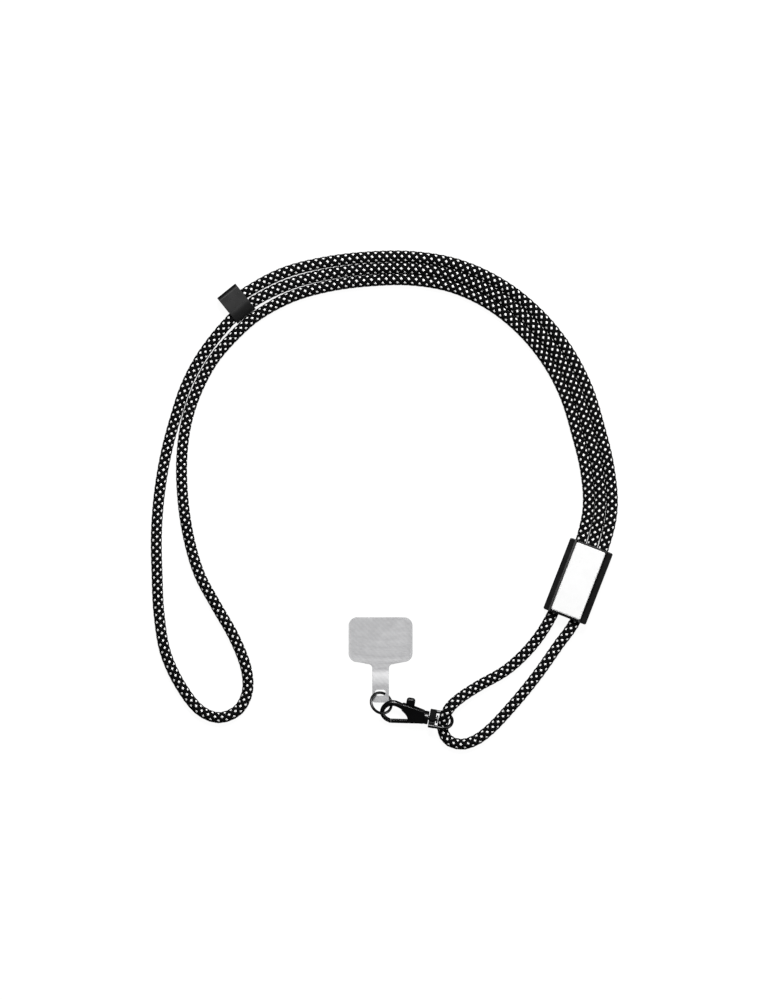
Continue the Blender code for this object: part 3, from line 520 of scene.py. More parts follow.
def rod(name, diameter, start, reach, along_x=False, edge=0.0, sides=48):
    """A round rod from start along Z or X, with its two rims rounded."""
    shape = bmesh.new()
    radius = diameter / 2
    bmesh.ops.create_cone(shape, cap_ends=True, segments=sides, radius1=radius, radius2=radius, depth=reach)
    if edge:
        round_rims(shape, edge, 4)
    bmesh.ops.translate(shape, vec=(0.0, 0.0, reach / 2), verts=shape.verts)
    if along_x:
        bmesh.ops.rotate(shape, cent=(0, 0, 0), matrix=Matrix.Rotation(QUARTER, 3, "Y"), verts=shape.verts)
    bmesh.ops.translate(shape, vec=start, verts=shape.verts)
    return finished_mesh(name, shape)


def round_curve(name, points, radius, resolution):
    """A round curve along the points, with filled ends."""
    curve = bpy.data.curves.new(name, "CURVE")
    curve.dimensions = "3D"
    curve.bevel_depth = radius
    curve.bevel_resolution = resolution
    curve.use_fill_caps = True
    spline = curve.splines.new("POLY")
    spline.points.add(len(points) - 1)
    for target, point in zip(spline.points, points):
        target.co = (*point, 1.0)
    return curve


def tube(name, points, radii):
    """A round tube along the points, with its caps welded on."""
    curve = round_curve(name, points, 1.0, 6)
    for target, radius in zip(curve.splines[0].points, radii):
        target.radius = radius
    item = linked(name, curve)
    mesh = evaluated(item)
    bpy.data.objects.remove(item, do_unlink=True)
    bpy.data.curves.remove(curve)
    shape = bmesh.new()
    shape.from_mesh(mesh)
    bmesh.ops.remove_doubles(shape, verts=shape.verts, dist=WELD)
    return finished_mesh(name, shape)


def box(name, size, centre):
    """A plain box about its centre."""
    shape = bmesh.new()
    bmesh.ops.create_cube(shape, size=1.0)
    bmesh.ops.scale(shape, vec=size, verts=shape.verts)
    bmesh.ops.translate(shape, vec=centre, verts=shape.verts)
    return finished_mesh(name, shape)


def evaluated(item):
    """A mesh of the item as its modifiers leave it."""
    bpy.context.view_layer.update()
    return bpy.data.meshes.new_from_object(item.evaluated_get(bpy.context.evaluated_depsgraph_get()))


def combined(mesh, *tools):
    """The mesh with each tool joined or cut away in turn. A tool is an operation and a mesh."""
    items = [linked(mesh.name, mesh)]
    for operation, tool in tools:
        items.append(linked(tool.name, tool))
        boolean = items[0].modifiers.new(tool.name, "BOOLEAN")
        boolean.operation = operation
        boolean.object = items[-1]
        boolean.solver = "EXACT"
    result = evaluated(items[0])
    for item in items:
        bpy.data.objects.remove(item, do_unlink=True)
    return result


def hard_piece(name, mesh, matrix, material, body, slot, *nodes):
    """A rigid piece, moved into place, with smooth rounds, flat faces and crisp edges."""
    mesh.transform(matrix)
    mesh.shade_smooth()
    mesh.set_sharp_from_angle(angle=CRISP_ANGLE)
    item = linked(name, mesh)
    item.modifiers.new("flat faces", "WEIGHTED_NORMAL").keep_sharp = True
    flat = evaluated(item)
    bpy.data.objects.remove(item, do_unlink=True)
    return new_piece(name, flat, material, body, slot, *nodes)


def smooth_between(points, index, share):
    """A point between points[index] and the next, on a centripetal Catmull-Rom curve."""
    p1, p2 = points[index], points[index + 1]
    p0 = points[index - 1] if index > 0 else 2 * p1 - p2
    p3 = points[index + 2] if index + 2 < len(points) else 2 * p2 - p1
    t0 = 0.0
    t1 = t0 + math.sqrt((p1 - p0).length)
    t2 = t1 + math.sqrt((p2 - p1).length)
    t3 = t2 + math.sqrt((p3 - p2).length)
    t = t1 + (t2 - t1) * share

    def mix(first, second, low, high):
        return first * ((high - t) / (high - low)) + second * ((t - low) / (high - low))

    a1, a2, a3 = mix(p0, p1, t0, t1), mix(p1, p2, t1, t2), mix(p2, p3, t2, t3)
    return mix(mix(a1, a2, t0, t2), mix(a2, a3, t1, t3), t1, t2)


def turned(at, angle, roll=0.0):
    """A frame at a place, turned about Z and rolled about its own X."""
    return Matrix.Translation(at) @ Matrix.Rotation(angle, 4, "Z") @ Matrix.Rotation(roll, 4, "X")


def bundle_stations(rope, route, start, finish, pitch):
    """Evenly spaced stations on the middle line, each with its sideways step to the next strand."""
    line = [start] + [Vector((p.x, p.y, 0.0)) for p in route] + [finish]
    spreads = [route[0].spread] + [p.spread for p in route] + [route[-1].spread]
    stations = []
    for index in range(1, len(line) - 2):
        before = line[index + 1] - line[index - 1]
        after = line[index + 2] - line[index]
        steps = max(1, round((line[index + 1] - line[index]).length / rope.station_spacing))
        for step in range(steps):
            share = step / steps
            middle = smooth_between(line, index, share)
            along = (before.normalized() * (1 - share) + after.normalized() * share).normalized()
            spread = spreads[index] * (1 - share) + spreads[index + 1] * share
            stations.append((middle, Vector((-along.y, along.x, 0.0)) * pitch * spread))
    along = (line[-1] - line[-3]).normalized()
    stations.append((line[-2], Vector((-along.y, along.x, 0.0)) * pitch * spreads[-2]))
    return stations


def strand(stations, side, radius):
    """One strand beside the middle line, side counts strands to the left of its direction."""
    return [middle + step * side + Vector((0.0, 0.0, radius)) for middle, step in stations]


def rope_route(rope, clip, slider):
    """The whole rope's route from its fixed end in the clip to its fixed end in the adjuster."""
    radius = rope.diameter / 2
    bore = radius + clip.fit_gap
    pitch = rope.diameter + rope.strand_gap
    clip_frame = turned(Vector(clip.middle), clip.angle)
    slider_frame = turned(Vector(slider.middle), slider.angle)
    fixed = pitch
    passing = -(bore + clip.wall + clip.fit_gap + radius)
    half = clip.length / 2
    height = clip.wall + bore
    slider_half = slider.length / 2

    def channel(side):
        ends = (slider_half, -slider_half)
        return [slider_frame @ Vector((side * pitch, y, slider.floor + bore)) for y in ends]

    def free(route):
        return [Vector((p.x, p.y, p.lift + radius)) for p in route]

    mouth = clip_frame @ Vector((half, 0.0, 0.0))
    slider_top = slider_frame @ Vector((0.0, slider_half, 0.0))
    bundle = bundle_stations(rope, BUNDLE_ROUTE, slider_top, mouth, pitch)
    below = clip_frame @ Vector((-half, passing / 2, 0.0))
    pair = bundle_stations(rope, PAIR_ROUTE, below, PAIR_HEADING, pitch / 2)
    fixed_end = clip.wall + clip.fit_gap - half

    route = [clip_frame @ Vector((x, fixed, height)) for x in (fixed_end, half)]
    route += reversed(strand(bundle, -1, radius))
    route += channel(1)
    route += free(HOOK_ROUTE)
    route += reversed(channel(-1))
    route += strand(bundle, 1, radius)
    route += [clip_frame @ Vector((x, passing, radius)) for x in (half, -half)]
    route += strand(pair, 1, radius)
    route += free(NECK_ROUTE)
    route += reversed(strand(pair, -1, radius))
    route += [clip_frame @ Vector((x, 0.0, height)) for x in (-half, half)]
    route += reversed(strand(bundle, 0, radius))
    top, bottom = channel(0)
    stop = slider.end_stop + clip.fit_gap
    route += [top, bottom + (top - bottom).normalized() * stop]
    return route


def even_line(route, spacing, lowest):
    """Evenly spaced points on the smooth curve through the route, none below lowest, as an array."""
    fine = []
    for index in range(len(route) - 1):
        steps = math.ceil((route[index + 1] - route[index]).length / (spacing / 2))
        fine += [smooth_between(route, index, step / steps) for step in range(steps)]
    fine.append(route[-1])
    fine = np.array(fine)
    fine[:, 2] = np.maximum(fine[:, 2], lowest)
    reach = np.concatenate([[0.0], np.cumsum(np.linalg.norm(np.diff(fine, axis=0), axis=1))])
    stops = np.linspace(0.0, reach[-1], round(reach[-1] / spacing) + 1)
    return np.stack([np.interp(stops, reach, fine[:, axis]) for axis in range(3)], axis=1)


def unit(vectors):
    """The vectors of an array, each with length 1."""
    return vectors / np.linalg.norm(vectors, axis=-1, keepdims=True)


def steady_frames(line):
    """Along, side and up vectors at each point of a line, that turn with it and never twist about it."""
    along = unit(np.gradient(line, axis=0))
    side = np.zeros_like(along)
    side[0] = unit(np.cross(along[0], (0.0, 0.0, 1.0)))
    for index in range(1, len(line)):
        moved = side[index - 1] - along[index] * np.dot(side[index - 1], along[index])
        side[index] = moved / np.linalg.norm(moved)
    return along, side, np.cross(side, along)


def bundle_share(line, holders, blend):
    """1 along the bundle, right of the clip and above the adjuster, and 0 near both and elsewhere."""
    clip, slider = holders[0][0], holders[1][0]
    share = ((line[:, 0] > clip[0]) & (line[:, 1] > slider[1])).astype(float)
    for middle, reach in holders:
        beyond = np.linalg.norm(line[:, :2] - np.array(middle)[:2], axis=1) - reach
        share = np.minimum(share, np.clip(beyond / blend, 0.0, 1.0))
    return share


def straight_strand(name, sides, rings):
    """A straight closed tube of unit radius along Z, one ring a unit: the blank that a yarn is bent from.

    A flat grid is rolled up, its long edges are merged and its ends are filled.
    """
    shape = bmesh.new()
    bmesh.ops.create_grid(shape, x_segments=sides, y_segments=rings - 1, size=1.0)
    for vert in shape.verts:
        angle = math.pi * vert.co.x
        vert.co = (math.cos(angle), math.sin(angle), round((vert.co.y + 1) / 2 * (rings - 1)))
    bmesh.ops.remove_doubles(shape, verts=shape.verts[:], dist=0.01)
    bmesh.ops.holes_fill(shape, edges=shape.edges[:], sides=sides)
    mesh = finished_mesh(name, shape)
    mesh.shade_smooth()
    return mesh


def lay_yarn(mesh, line, frames, turn_step, start_turn, mean_radius, swing, width, thickness):
    """Bends a straight strand into one yarn of the braid, and unrolls it on a UV map.

    The yarn turns by turn_step at each ring and its distance from the rope's middle swings each stitch.
    """
    blank = np.empty(len(mesh.vertices) * 3)
    mesh.vertices.foreach_get("co", blank)
    blank = blank.reshape(-1, 3)
    ring = np.rint(blank[:, 2]).astype(int)
    along, side, up = (part[ring] for part in frames)
    angle = start_turn + ring * turn_step
    outward = side * np.cos(angle)[:, None] + up * np.sin(angle)[:, None]
    round_way = up * np.cos(angle)[:, None] - side * np.sin(angle)[:, None]
    spacing = np.linalg.norm(line[1] - line[0])
    heading = unit(along * spacing + round_way * (turn_step * mean_radius))
    across = np.cross(heading, outward)
    radius = mean_radius + swing[ring]
    places = line[ring] + outward * radius[:, None]
    places += outward * (blank[:, 1] * thickness / 2)[:, None] + across * (blank[:, 0] * width / 2)[:, None]
    places[:, 2] = np.maximum(places[:, 2], 0.0)
    mesh.vertices.foreach_set("co", places.ravel())

    corners = np.empty(len(mesh.loops), dtype=np.int32)
    mesh.loops.foreach_get("vertex_index", corners)
    around = np.arctan2(blank[:, 1], blank[:, 0]) / FULL_TURN
    flat = np.stack([ring * spacing, around], axis=1)[corners]
    mesh.uv_layers.new(name="yarn").data.foreach_set("uv", flat.ravel().astype(np.float32))
    mesh.update()


class LANYARD_OT_rope(Operator):
    """Braids the rope along its route"""

    bl_idname = "lanyard.rope"
    bl_label = "Rope"

    def execute(self, context):
        rope = context.scene.lanyard_rope
        clip = context.scene.lanyard_clip
        slider = context.scene.lanyard_slider
        spacing = rope.stitch / rope.stitch_rings
        line = even_line(rope_route(rope, clip, slider), spacing, rope.diameter / 2)
        frames = steady_frames(line)
        stitches = np.arange(len(line)) / rope.stitch_rings
        step = FULL_TURN / (2 * rope.carriers) / rope.stitch_rings
        mean = rope.diameter / 2 + rope.proud - rope.dark_thickness / 2 - rope.weave_depth
        wave = rope.weave_depth * np.cos(math.pi * stitches)
        holders = [(clip.middle, clip.length), (slider.middle, slider.length / 2)]
        swell = rope.swell * bundle_share(line, holders, 2 * rope.diameter)
        dark = yarn_finish("black yarn", rope.dark, 2.2)
        light = yarn_finish("white yarn", rope.light, 0.8)

        blank = straight_strand("yarn blank", rope.yarn_sides, len(line))
        for way, way_name, swing in ((-1, "left", swell + wave), (1, "right", swell - wave)):
            for index in range(rope.carriers):
                pale = way < 0 and index % 2 == 0
                name = f"rope_yarn_{way_name}_{index + 1}"
                mesh = blank.copy()
                mesh.name = name
                start = way * index * FULL_TURN / rope.carriers
                section = (rope.dark_width, rope.dark_thickness)
                if pale:
                    section = (rope.light_width, rope.light_thickness)
                lay_yarn(mesh, line, frames, way * step, start, mean, swing, *section)
                new_piece(name, mesh, light if pale else dark, "lanyard", "rope")

        core_finish = Finish("rope core", Base_Color=solid(rope.dark), Roughness=0.9).material
        core_curve = round_curve("rope core", line[::3], rope.core_radius, 3)
        core = new_piece("rope_core", core_curve, core_finish, "lanyard", "rope", "rope")
        return {"FINISHED"}


# Stands a flat outline up across the X axis: its x becomes Y and its y becomes Z.
ACROSS = Matrix(((0, 0, 1, 0), (1, 0, 0, 0), (0, 1, 0, 0), (0, 0, 0, 1)))


class LANYARD_OT_clip(Operator):
    """Folds the clip round the rope's blind end and the sliding strand"""

    bl_idname = "lanyard.clip"
    bl_label = "Folded clip"

    def execute(self, context):
        clip = context.scene.lanyard_clip
        rope = context.scene.lanyard_rope
        bore = rope.diameter / 2 + clip.fit_gap
        fixed = rope.diameter + rope.strand_gap
        outside = bore + clip.wall
        seam = fixed + bore + clip.seam_wall - clip.seam_round
        level = outside - clip.seam_round
        bend = arc((0.0, 0.0), 1.0, QUARTER, QUARTER, 16)
        band = [(clip.crest + (clip.crest + outside) * x, outside * y) for x, y in bend]
        band += arc((0.0, 0.0), outside, 2 * QUARTER, QUARTER, 14)[1:]
        band += arc((seam, -level), clip.seam_round, -QUARTER, QUARTER)
        band += arc((seam, level), clip.seam_round, 0.0, QUARTER)
        open_cell = arc((0.0, 0.0), bore, QUARTER, 2 * QUARTER, 28) + [(bore, -bore), (bore, bore)]
        blind_cell = rounded_rectangle(fixed - bore, fixed + bore, -bore, bore, clip.cell_round)
        half = clip.length / 2
        mesh = combined(
            slab("clip", band, -half, half, clip.edge),
            ("DIFFERENCE", slab("open cell", open_cell, -clip.length, clip.length)),
            ("DIFFERENCE", slab("blind cell", blind_cell, clip.wall - half, clip.length)),
        )
        lift = Matrix.Translation((0.0, 0.0, outside))
        matrix = turned(Vector(clip.middle), clip.angle) @ lift @ ACROSS
        satin = painted_finish("satin black paint", clip.paint, roughness=0.39, grain=0.16 * MM,
                               depth=0.010 * MM)
        hard_piece("rope_clip_body", mesh, matrix, satin, "lanyard", "clip_metal", "rope_clip")
        return {"FINISHED"}


class LANYARD_OT_slider(Operator):
    """Moulds the adjuster's frame and lays the white plate in it"""

    bl_idname = "lanyard.slider"
    bl_label = "Adjuster"

    def execute(self, context):
        slider = context.scene.lanyard_slider
        rope = context.scene.lanyard_rope
        gap = context.scene.lanyard_clip.fit_gap
        bore = rope.diameter / 2 + gap
        pitch = rope.diameter + rope.strand_gap
        half_width = pitch + bore + slider.wall
        half_length = slider.length / 2
        seat = slider.floor + 2 * bore + slider.roof
        height = seat + gap + slider.plate_thickness + slider.rail_rise
        matrix = turned(Vector(slider.middle), slider.angle)

        outline = rounded_rectangle(-half_width, half_width, -half_length, half_length, slider.corner)
        plate_x = half_width - slider.rail_width
        plate_low, plate_high = slider.bottom_lip - half_length, half_length - slider.top_lip
        recess = rounded_rectangle(-plate_x - gap, plate_x + gap, plate_low - gap, plate_high + gap,
                                   slider.plate_corner + gap)
        # A wedge of unit size, point down once it is turned, that reaches above the rails.
        slope = slab("rail slope", [(-2.0, -1.0), (2.0, -1.0), (0.0, 1.0)], -0.5, 0.5)
        past = 2 * slider.length
        stop = slider.end_stop - half_length + past / 2
        deep = 2 * bore
        middle = slider.floor + bore
        tools = [
            ("DIFFERENCE", slab("recess", recess, seat, seat + height)),
            ("DIFFERENCE", box("upper channel", (2 * (pitch + bore), past, deep), (0.0, stop, middle))),
            ("DIFFERENCE", box("inner channel", (deep, past, deep), (-pitch, 0.0, middle))),
            ("DIFFERENCE", box("outer channel", (deep, past, deep), (pitch, 0.0, middle))),
        ]
        size = Matrix.Diagonal((slider.rail_slope, slider.rail_slope_depth, past, 1.0))
        stand = Matrix.Rotation(QUARTER, 4, "X") @ Matrix.Rotation(math.pi, 4, "Z")
        for side in (-1, 1):
            tool = slope.copy()
            tool.transform(Matrix.Translation((side * (plate_x + gap), 0.0, height)) @ stand @ size)
            tools.append(("DIFFERENCE", tool))
        mesh = combined(slab("frame", outline, 0.0, height, slider.edge), *tools)
        plastic = painted_finish("black plastic", slider.plastic, roughness=0.28, grain=0.22 * MM,
                                 depth=0.008 * MM)
        hard_piece("slider_frame_body", mesh, matrix, plastic, "lanyard", "slider_plastic", "slider_frame")

        bottom = seat + gap
        outline = rounded_rectangle(-plate_x, plate_x, plate_low, plate_high, slider.plate_corner)
        mesh = slab("plate", outline, bottom, bottom + slider.plate_thickness, slider.plate_edge)
        white = painted_finish("white plastic", slider.plate, roughness=0.42, grain=0.25 * MM,
                               depth=0.004 * MM)
        hard_piece("slider_plate_body", mesh, matrix, white, "lanyard", "plate_plastic", "slider_plate")
        return {"FINISHED"}


def hook_place(hook, point):
    """A place in the hook's plane, from its shares of the hook's reach and width."""
    return Vector((-point.along * hook.reach, point.across * hook.width, 0.0))


def hook_matrix(hook, roll):
    """A frame on the swivel's axis at the collar's face."""
    return turned(Vector(hook.start), hook.angle, roll)


def hook_paint(hook):
    return painted_finish("semi-gloss black paint", hook.paint, roughness=0.26, grain=0.14 * MM,
                          depth=0.005 * MM)


class LANYARD_OT_eye(Operator):
    """Bends the swivel eye's bow and joins it to its base block"""

    bl_idname = "lanyard.eye"
    bl_label = "Swivel eye"

    def execute(self, context):
        hook = context.scene.lanyard_hook
        half_width = hook.eye_width / 2
        root = hook.fit_gap + hook.eye_base / 2
        bend = (hook.eye_reach - half_width, 0.0)
        bow = [(root, half_width)] + arc(bend, half_width, QUARTER, -2 * QUARTER, 36) + [(root, -half_width)]
        bow = [Vector((x, y, 0.0)) for x, y in bow]
        boss, height = hook.eye_boss / 2, hook.eye_height / 2
        foot = boss + (height - hook.eye_round) / 2
        base = [(-boss, height), (-foot, hook.eye_round)]
        base += arc((-half_width, 0.0), hook.eye_round, QUARTER, 2 * QUARTER)
        base += [(-foot, -hook.eye_round), (-boss, -height), (boss, -height), (foot, -hook.eye_round)]
        base += arc((half_width, 0.0), hook.eye_round, -QUARTER, 2 * QUARTER)
        base += [(foot, hook.eye_round), (boss, height)]
        half = hook.eye_base / 2
        block = slab("eye base", base, -half, half, hook.eye_edge)
        block.transform(Matrix.Translation((root, 0.0, 0.0)) @ ACROSS)
        bore = hook.post + 2 * hook.fit_gap
        mesh = combined(
            block,
            ("UNION", tube("eye bow", bow, [hook.eye_wire / 2] * len(bow))),
            ("DIFFERENCE", rod("eye bore", bore, (-hook.eye_reach / 2, 0.0, 0.0), hook.eye_reach, True)),
        )
        matrix = hook_matrix(hook, hook.eye_tilt)
        hard_piece("swivel_eye_body", mesh, matrix, hook_paint(hook), "lanyard", "hook_metal", "swivel_eye")
        return {"FINISHED"}


def gate_heading(hook):
    """The gate's direction, from the claw's end to the gate's bend."""
    return (hook_place(hook, GATE_BEND) - hook_place(hook, CLAW_LINE[-1])).normalized()


def claw_tube(hook):
    """The claw as a tapering tube along a smooth curve through its middle line, cut square to the gate."""
    steps = 6
    line = [hook_place(hook, point) for point in CLAW_LINE]
    points, radii = [], []
    for index in range(len(line) - 1):
        for step in range(steps):
            share = step / steps
            thick = CLAW_LINE[index].thick * (1 - share) + CLAW_LINE[index + 1].thick * share
            points.append(smooth_between(line, index, share))
            radii.append((hook.claw_tip + (hook.claw_root - hook.claw_tip) * thick) / 2)
    points[-2:] = [line[-1] - gate_heading(hook) * hook.claw_tip / 4, line[-1]]
    return tube("claw", points, radii)


class LANYARD_OT_hook(Operator):
    """Casts the trigger hook's body with its claw, collar, post and pivot pin"""

    bl_idname = "lanyard.hook"
    bl_label = "Trigger hook"

    def execute(self, context):
        hook = context.scene.lanyard_hook
        half = hook.body_height / 2
        outline = softened([hook_place(hook, point) for point in BODY_OUTLINE], hook.body_corner)
        slot_half = hook.gate_thickness / 2 + hook.fit_gap
        slot = slab("slot", [hook_place(hook, point)[:2] for point in SLOT_OUTLINE], -slot_half, slot_half)
        head_start = 2 * hook.fit_gap + hook.eye_base
        post_length = hook.collar_length / 2 + head_start + hook.post_head_height / 2
        pivot = hook_place(hook, PIVOT)
        pin_length = (hook.gate_thickness + hook.body_height) / 2
        pin_start = pivot - Vector((0.0, 0.0, pin_length / 2))
        mesh = combined(
            slab("hook", outline, -half, half, hook.body_edge),
            ("UNION", rod("collar", hook.collar, (-hook.collar_length, 0.0, 0.0), hook.collar_length, True,
                          hook.collar_edge)),
            ("UNION", rod("post", hook.post, (-hook.collar_length / 2, 0.0, 0.0), post_length, True)),
            ("UNION", rod("post head", hook.post_head, (head_start, 0.0, 0.0), hook.post_head_height, True,
                          hook.post_head_height / 4)),
            ("UNION", claw_tube(hook)),
            ("DIFFERENCE", slot),
            ("UNION", rod("pin", hook.pin, pin_start, pin_length, sides=24)),
        )
        matrix = hook_matrix(hook, hook.roll)
        hard_piece("hook_body_casting", mesh, matrix, hook_paint(hook), "hook", "hook_metal", "hook_body")
        return {"FINISHED"}


class LANYARD_OT_gate(Operator):
    """Shapes the gate's bar, web and stem and its thumb knob"""

    bl_idname = "lanyard.gate"
    bl_label = "Gate"

    def execute(self, context):
        hook = context.scene.lanyard_hook
        pivot = hook_place(hook, PIVOT)
        claw_end = hook_place(hook, CLAW_LINE[-1])
        bend = hook_place(hook, GATE_BEND)
        along = gate_heading(hook)
        side = Vector((-along.y, along.x, 0.0)) * hook.gate_thickness / 2
        tip = claw_end + along * hook.gate_gap
        stem = hook_place(hook, OutlinePoint(STEM_ALONG, STEM_TOP))
        web = hook_place(hook, OutlinePoint(STEM_ALONG, 0.0))
        half_stem = Vector((hook.stem / 2, 0.0, 0.0))
        boss = arc(pivot, hook.gate_boss / 2, BOSS_START, math.pi, 18)
        outline = [tip + side, tip - side, bend - side] + boss
        outline += [web + half_stem + Vector((0.0, hook.stem / 2, 0.0)), stem + half_stem, stem - half_stem]
        outline += [web - half_stem, bend + side]
        half = hook.gate_thickness / 2
        blade = slab("gate", [point[:2] for point in outline], -half, half, hook.gate_edge)

        half_knob = Vector((hook.knob_width / 2, 0.0))
        left = hook_place(hook, OutlinePoint(STEM_ALONG, KNOB_BASE_LEFT)).xy - half_knob
        right = hook_place(hook, OutlinePoint(STEM_ALONG, KNOB_BASE_RIGHT)).xy + half_knob
        shoulder = KNOB_TOP * hook.width - hook.knob_round
        knob = [left, right] + arc((right.x - hook.knob_round, shoulder), hook.knob_round, 0.0, QUARTER)
        knob += arc((left.x + hook.knob_round, shoulder), hook.knob_round, QUARTER, QUARTER)
        depth = hook.knob_depth / 2
        hole = hook.pin + 2 * hook.fit_gap
        start = pivot - Vector((0.0, 0.0, hook.gate_thickness))
        mesh = combined(
            blade,
            ("UNION", slab("knob", knob, -depth, depth, hook.knob_edge)),
            ("DIFFERENCE", rod("pivot hole", hole, start, 2 * hook.gate_thickness, sides=24)),
        )
        matrix = hook_matrix(hook, hook.roll)
        hard_piece("hook_gate_casting", mesh, matrix, hook_paint(hook), "gate", "hook_metal", "hook_gate")
        return {"FINISHED"}


def ring_middle(context):
    """The middle of the ring, which hangs in the claw's end."""
    hook = context.scene.lanyard_hook
    drop = Vector((0.0, 0.0, context.scene.lanyard_tab.ring_drop))
    return hook_matrix(hook, hook.roll) @ (hook_place(hook, RING_PLACE) - drop)


class LANYARD_OT_ring(Operator):
    """Turns the small round ring"""

    bl_idname = "lanyard.ring"
    bl_label = "Ring"

    def execute(self, context):
        tab = context.scene.lanyard_tab
        shape = bmesh.new()
        stand = Matrix.Translation((tab.ring / 2, 0.0, 0.0)) @ Matrix.Rotation(QUARTER, 4, "X")
        wire_sides, ring_steps = 24, 96
        bmesh.ops.create_circle(shape, segments=wire_sides, radius=tab.ring_wire / 2, matrix=stand)
        bmesh.ops.spin(shape, geom=shape.verts[:] + shape.edges[:], cent=(0, 0, 0), axis=(0, 0, 1),
                       angle=FULL_TURN, steps=ring_steps, use_merge=True)
        lean = Vector((-math.sin(tab.ring_low_side), math.cos(tab.ring_low_side), 0.0))
        matrix = Matrix.Translation(ring_middle(context)) @ Matrix.Rotation(tab.ring_tilt, 4, lean)
        paint = hook_paint(context.scene.lanyard_hook)
        hard_piece("ring_wire", finished_mesh("ring", shape), matrix, paint, "hook", "hook_metal", "ring")
        return {"FINISHED"}


def lifted_tongue(mesh, tab):
    """The tab with its tongue bent up from the foot to the ring, and level past the slot."""
    shape = bmesh.new()
    shape.from_mesh(mesh)
    level_end = tab.slot_from_end + tab.slot_length
    rise_start = tab.tongue_length - tab.tongue_fillet
    bends = 24
    for step in range(bends + 1):
        y = level_end + (rise_start - level_end) * step / bends
        bmesh.ops.bisect_plane(shape, geom=shape.verts[:] + shape.edges[:] + shape.faces[:],
                               plane_co=(0.0, y, 0.0), plane_no=(0.0, 1.0, 0.0))
    for vert in shape.verts:
        share = min(1.0, max(0.0, (rise_start - vert.co.y) / (rise_start - level_end)))
        ease = share * share * (3 - 2 * share)
        vert.co.z += ease * (tab.tongue_lift + tab.tongue_roll * vert.co.x)
    return finished_mesh("tab", shape)


class LANYARD_OT_tab(Operator):
    """Cuts the milky tab and lifts its tongue to the ring"""

    bl_idname = "lanyard.tab"
    bl_label = "Tether tab"

    def execute(self, context):
        tab = context.scene.lanyard_tab
        half_foot, half_tongue = tab.foot_width / 2, tab.tongue_width / 2
        near, far = tab.tongue_length, tab.tongue_length + tab.foot_length
        corner, fillet = tab.tongue_corner, tab.tongue_fillet
        side = half_foot - tab.foot_corner
        shoulder = near + tab.shoulder_drop + tab.foot_corner
        outline = arc((half_tongue - corner, corner), corner, -QUARTER, QUARTER)
        outline += arc((half_tongue + fillet, near - fillet), fillet, 2 * QUARTER, -QUARTER)
        outline += arc((side, shoulder), tab.foot_corner, -QUARTER, QUARTER)
        outline += arc((side, far - tab.foot_corner), tab.foot_corner, 0.0, QUARTER)
        outline += [(-x, y) for x, y in reversed(outline)]
        slot_x, slot_y = tab.slot_width / 2, tab.slot_length / 2
        slot = rounded_rectangle(tab.slot_side - slot_x, tab.slot_side + slot_x, tab.slot_from_end - slot_y,
                                 tab.slot_from_end + slot_y, tab.slot_round)
        mesh = combined(slab("tab", outline, 0.0, tab.thickness, tab.edge, 2),
                        ("DIFFERENCE", slab("tab slot", slot, -tab.thickness, 2 * tab.thickness)))
        sheet = lifted_tongue(mesh, tab)
        middle = ring_middle(context)
        matrix = Matrix.Translation((middle.x + tab.tongue_side, middle.y + tab.tongue_back, 0.0))
        milk = milky_finish("milky plastic", tab.milk)
        hard_piece("tether_tab_sheet", sheet, matrix, milk, "hook", "tab_plastic", "tether_tab")
        return {"FINISHED"}


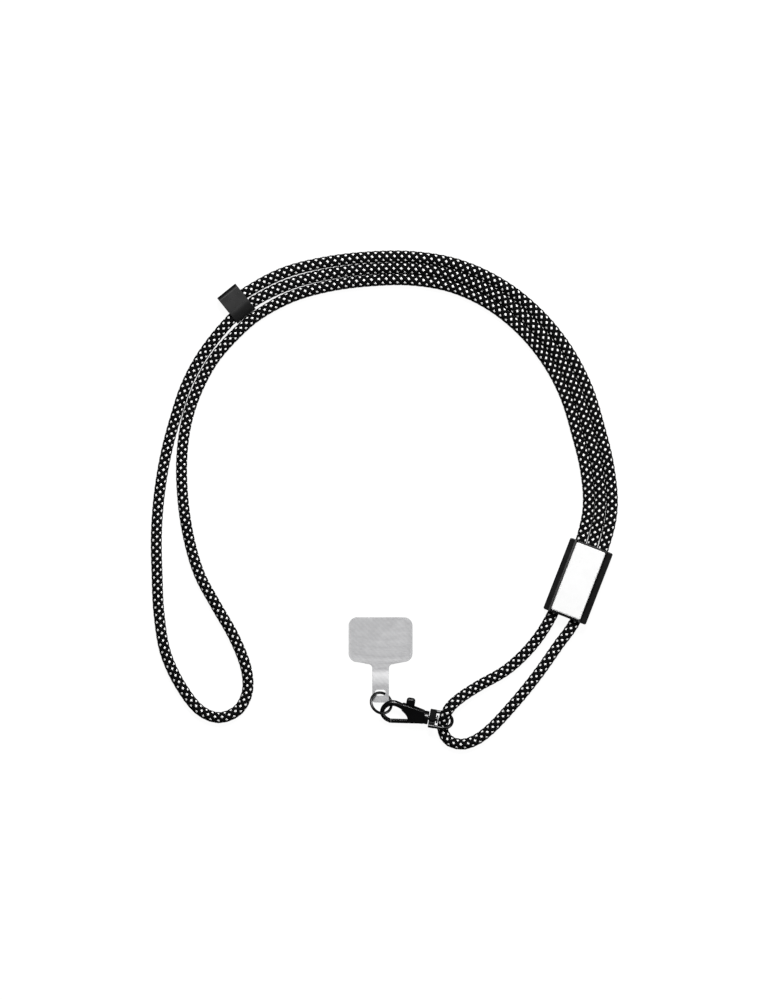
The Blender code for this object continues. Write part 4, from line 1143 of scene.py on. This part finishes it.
class LANYARD_OT_stage(Operator):
    """Sets the floor, the lights and the camera above the lanyard"""

    bl_idname = "lanyard.stage"
    bl_label = "Stage"

    def execute(self, context):
        stage = context.scene.lanyard_stage
        aim = Vector(stage.aim)

        shape = bmesh.new()
        bmesh.ops.create_grid(shape, x_segments=1, y_segments=1, size=stage.floor_size / 2)
        mesh = bpy.data.meshes.new("floor")
        shape.to_mesh(mesh)
        shape.free()
        white = (1.0, 1.0, 1.0)
        paper = Finish("white paper", Base_Color=solid(white, 0.08), Roughness=1.0, Specular_IOR_Level=0.0,
                       Emission_Color=solid(white), Emission_Strength=0.96)
        mesh.materials.append(paper.material)
        floor = linked("floor", mesh)
        floor.visible_glossy = False
        floor.visible_diffuse = False

        def area_light(name, offset, width, power):
            light = bpy.data.lights.new(name, "AREA")
            light.shape = "SQUARE"
            light.size = width
            light.energy = power
            item = linked(name, light)
            item.location = aim + Vector(offset)
            item.rotation_euler = (-Vector(offset)).to_track_quat("-Z", "Y").to_euler()

        area_light("key softbox", KEY_PLACE, KEY_WIDTH, stage.key_power)
        area_light("fill softbox", FILL_PLACE, FILL_WIDTH, stage.fill_power)

        world = bpy.data.worlds.new("studio")
        world.use_nodes = True
        background = world.node_tree.nodes["Background"]
        background.inputs["Color"].default_value = solid(white)
        background.inputs["Strength"].default_value = stage.air
        context.scene.world = world
        context.scene.view_settings.view_transform = "Standard"

        camera = bpy.data.cameras.new("camera")
        camera.sensor_fit = "VERTICAL"
        camera.lens = camera.sensor_height * stage.camera_height / stage.frame_height
        item = linked("camera", camera)
        item.location = aim + Vector((0.0, 0.0, stage.camera_height))
        context.scene.camera = item
        return {"FINISHED"}


class LANYARD_PT_panel(Panel):
    """Lists the lanyard's pieces and settings"""

    bl_idname = "LANYARD_PT_panel"
    bl_label = "Rope phone lanyard"
    bl_space_type = "VIEW_3D"
    bl_region_type = "UI"
    bl_category = "Lanyard"

    def draw(self, context):
        for operator in OPERATORS:
            self.layout.operator(operator.bl_idname)
        for name in SETTINGS:
            section = self.layout.box()
            group = getattr(context.scene, name)
            for key in group.bl_rna.properties.keys():
                if key not in ("rna_type", "name"):
                    section.prop(group, key)


OPERATORS = [
    LANYARD_OT_stage, LANYARD_OT_rope, LANYARD_OT_clip, LANYARD_OT_slider, LANYARD_OT_eye,
    LANYARD_OT_hook, LANYARD_OT_gate, LANYARD_OT_ring, LANYARD_OT_tab,
]
SETTINGS = {
    "lanyard_rope": RopeSettings,
    "lanyard_clip": ClipSettings,
    "lanyard_slider": SliderSettings,
    "lanyard_hook": HookSettings,
    "lanyard_tab": TabSettings,
    "lanyard_stage": StageSettings,
}


def register():
    for item in [*SETTINGS.values(), *OPERATORS, LANYARD_PT_panel]:
        bpy.utils.register_class(item)
    for name, group in SETTINGS.items():
        setattr(bpy.types.Scene, name, PointerProperty(type=group))


def unregister():
    for name in SETTINGS:
        delattr(bpy.types.Scene, name)
    for item in reversed([*SETTINGS.values(), *OPERATORS, LANYARD_PT_panel]):
        bpy.utils.unregister_class(item)


def main():
    register()
    for item in list(bpy.data.objects):
        if item.name in ("Cube", "Light", "Camera"):
            bpy.data.objects.remove(item)
    bpy.ops.lanyard.stage()
    bpy.ops.lanyard.rope()
    bpy.ops.lanyard.clip()
    bpy.ops.lanyard.slider()
    bpy.ops.lanyard.eye()
    bpy.ops.lanyard.hook()
    bpy.ops.lanyard.gate()
    bpy.ops.lanyard.ring()
    bpy.ops.lanyard.tab()


if __name__ == "__main__":
    main()
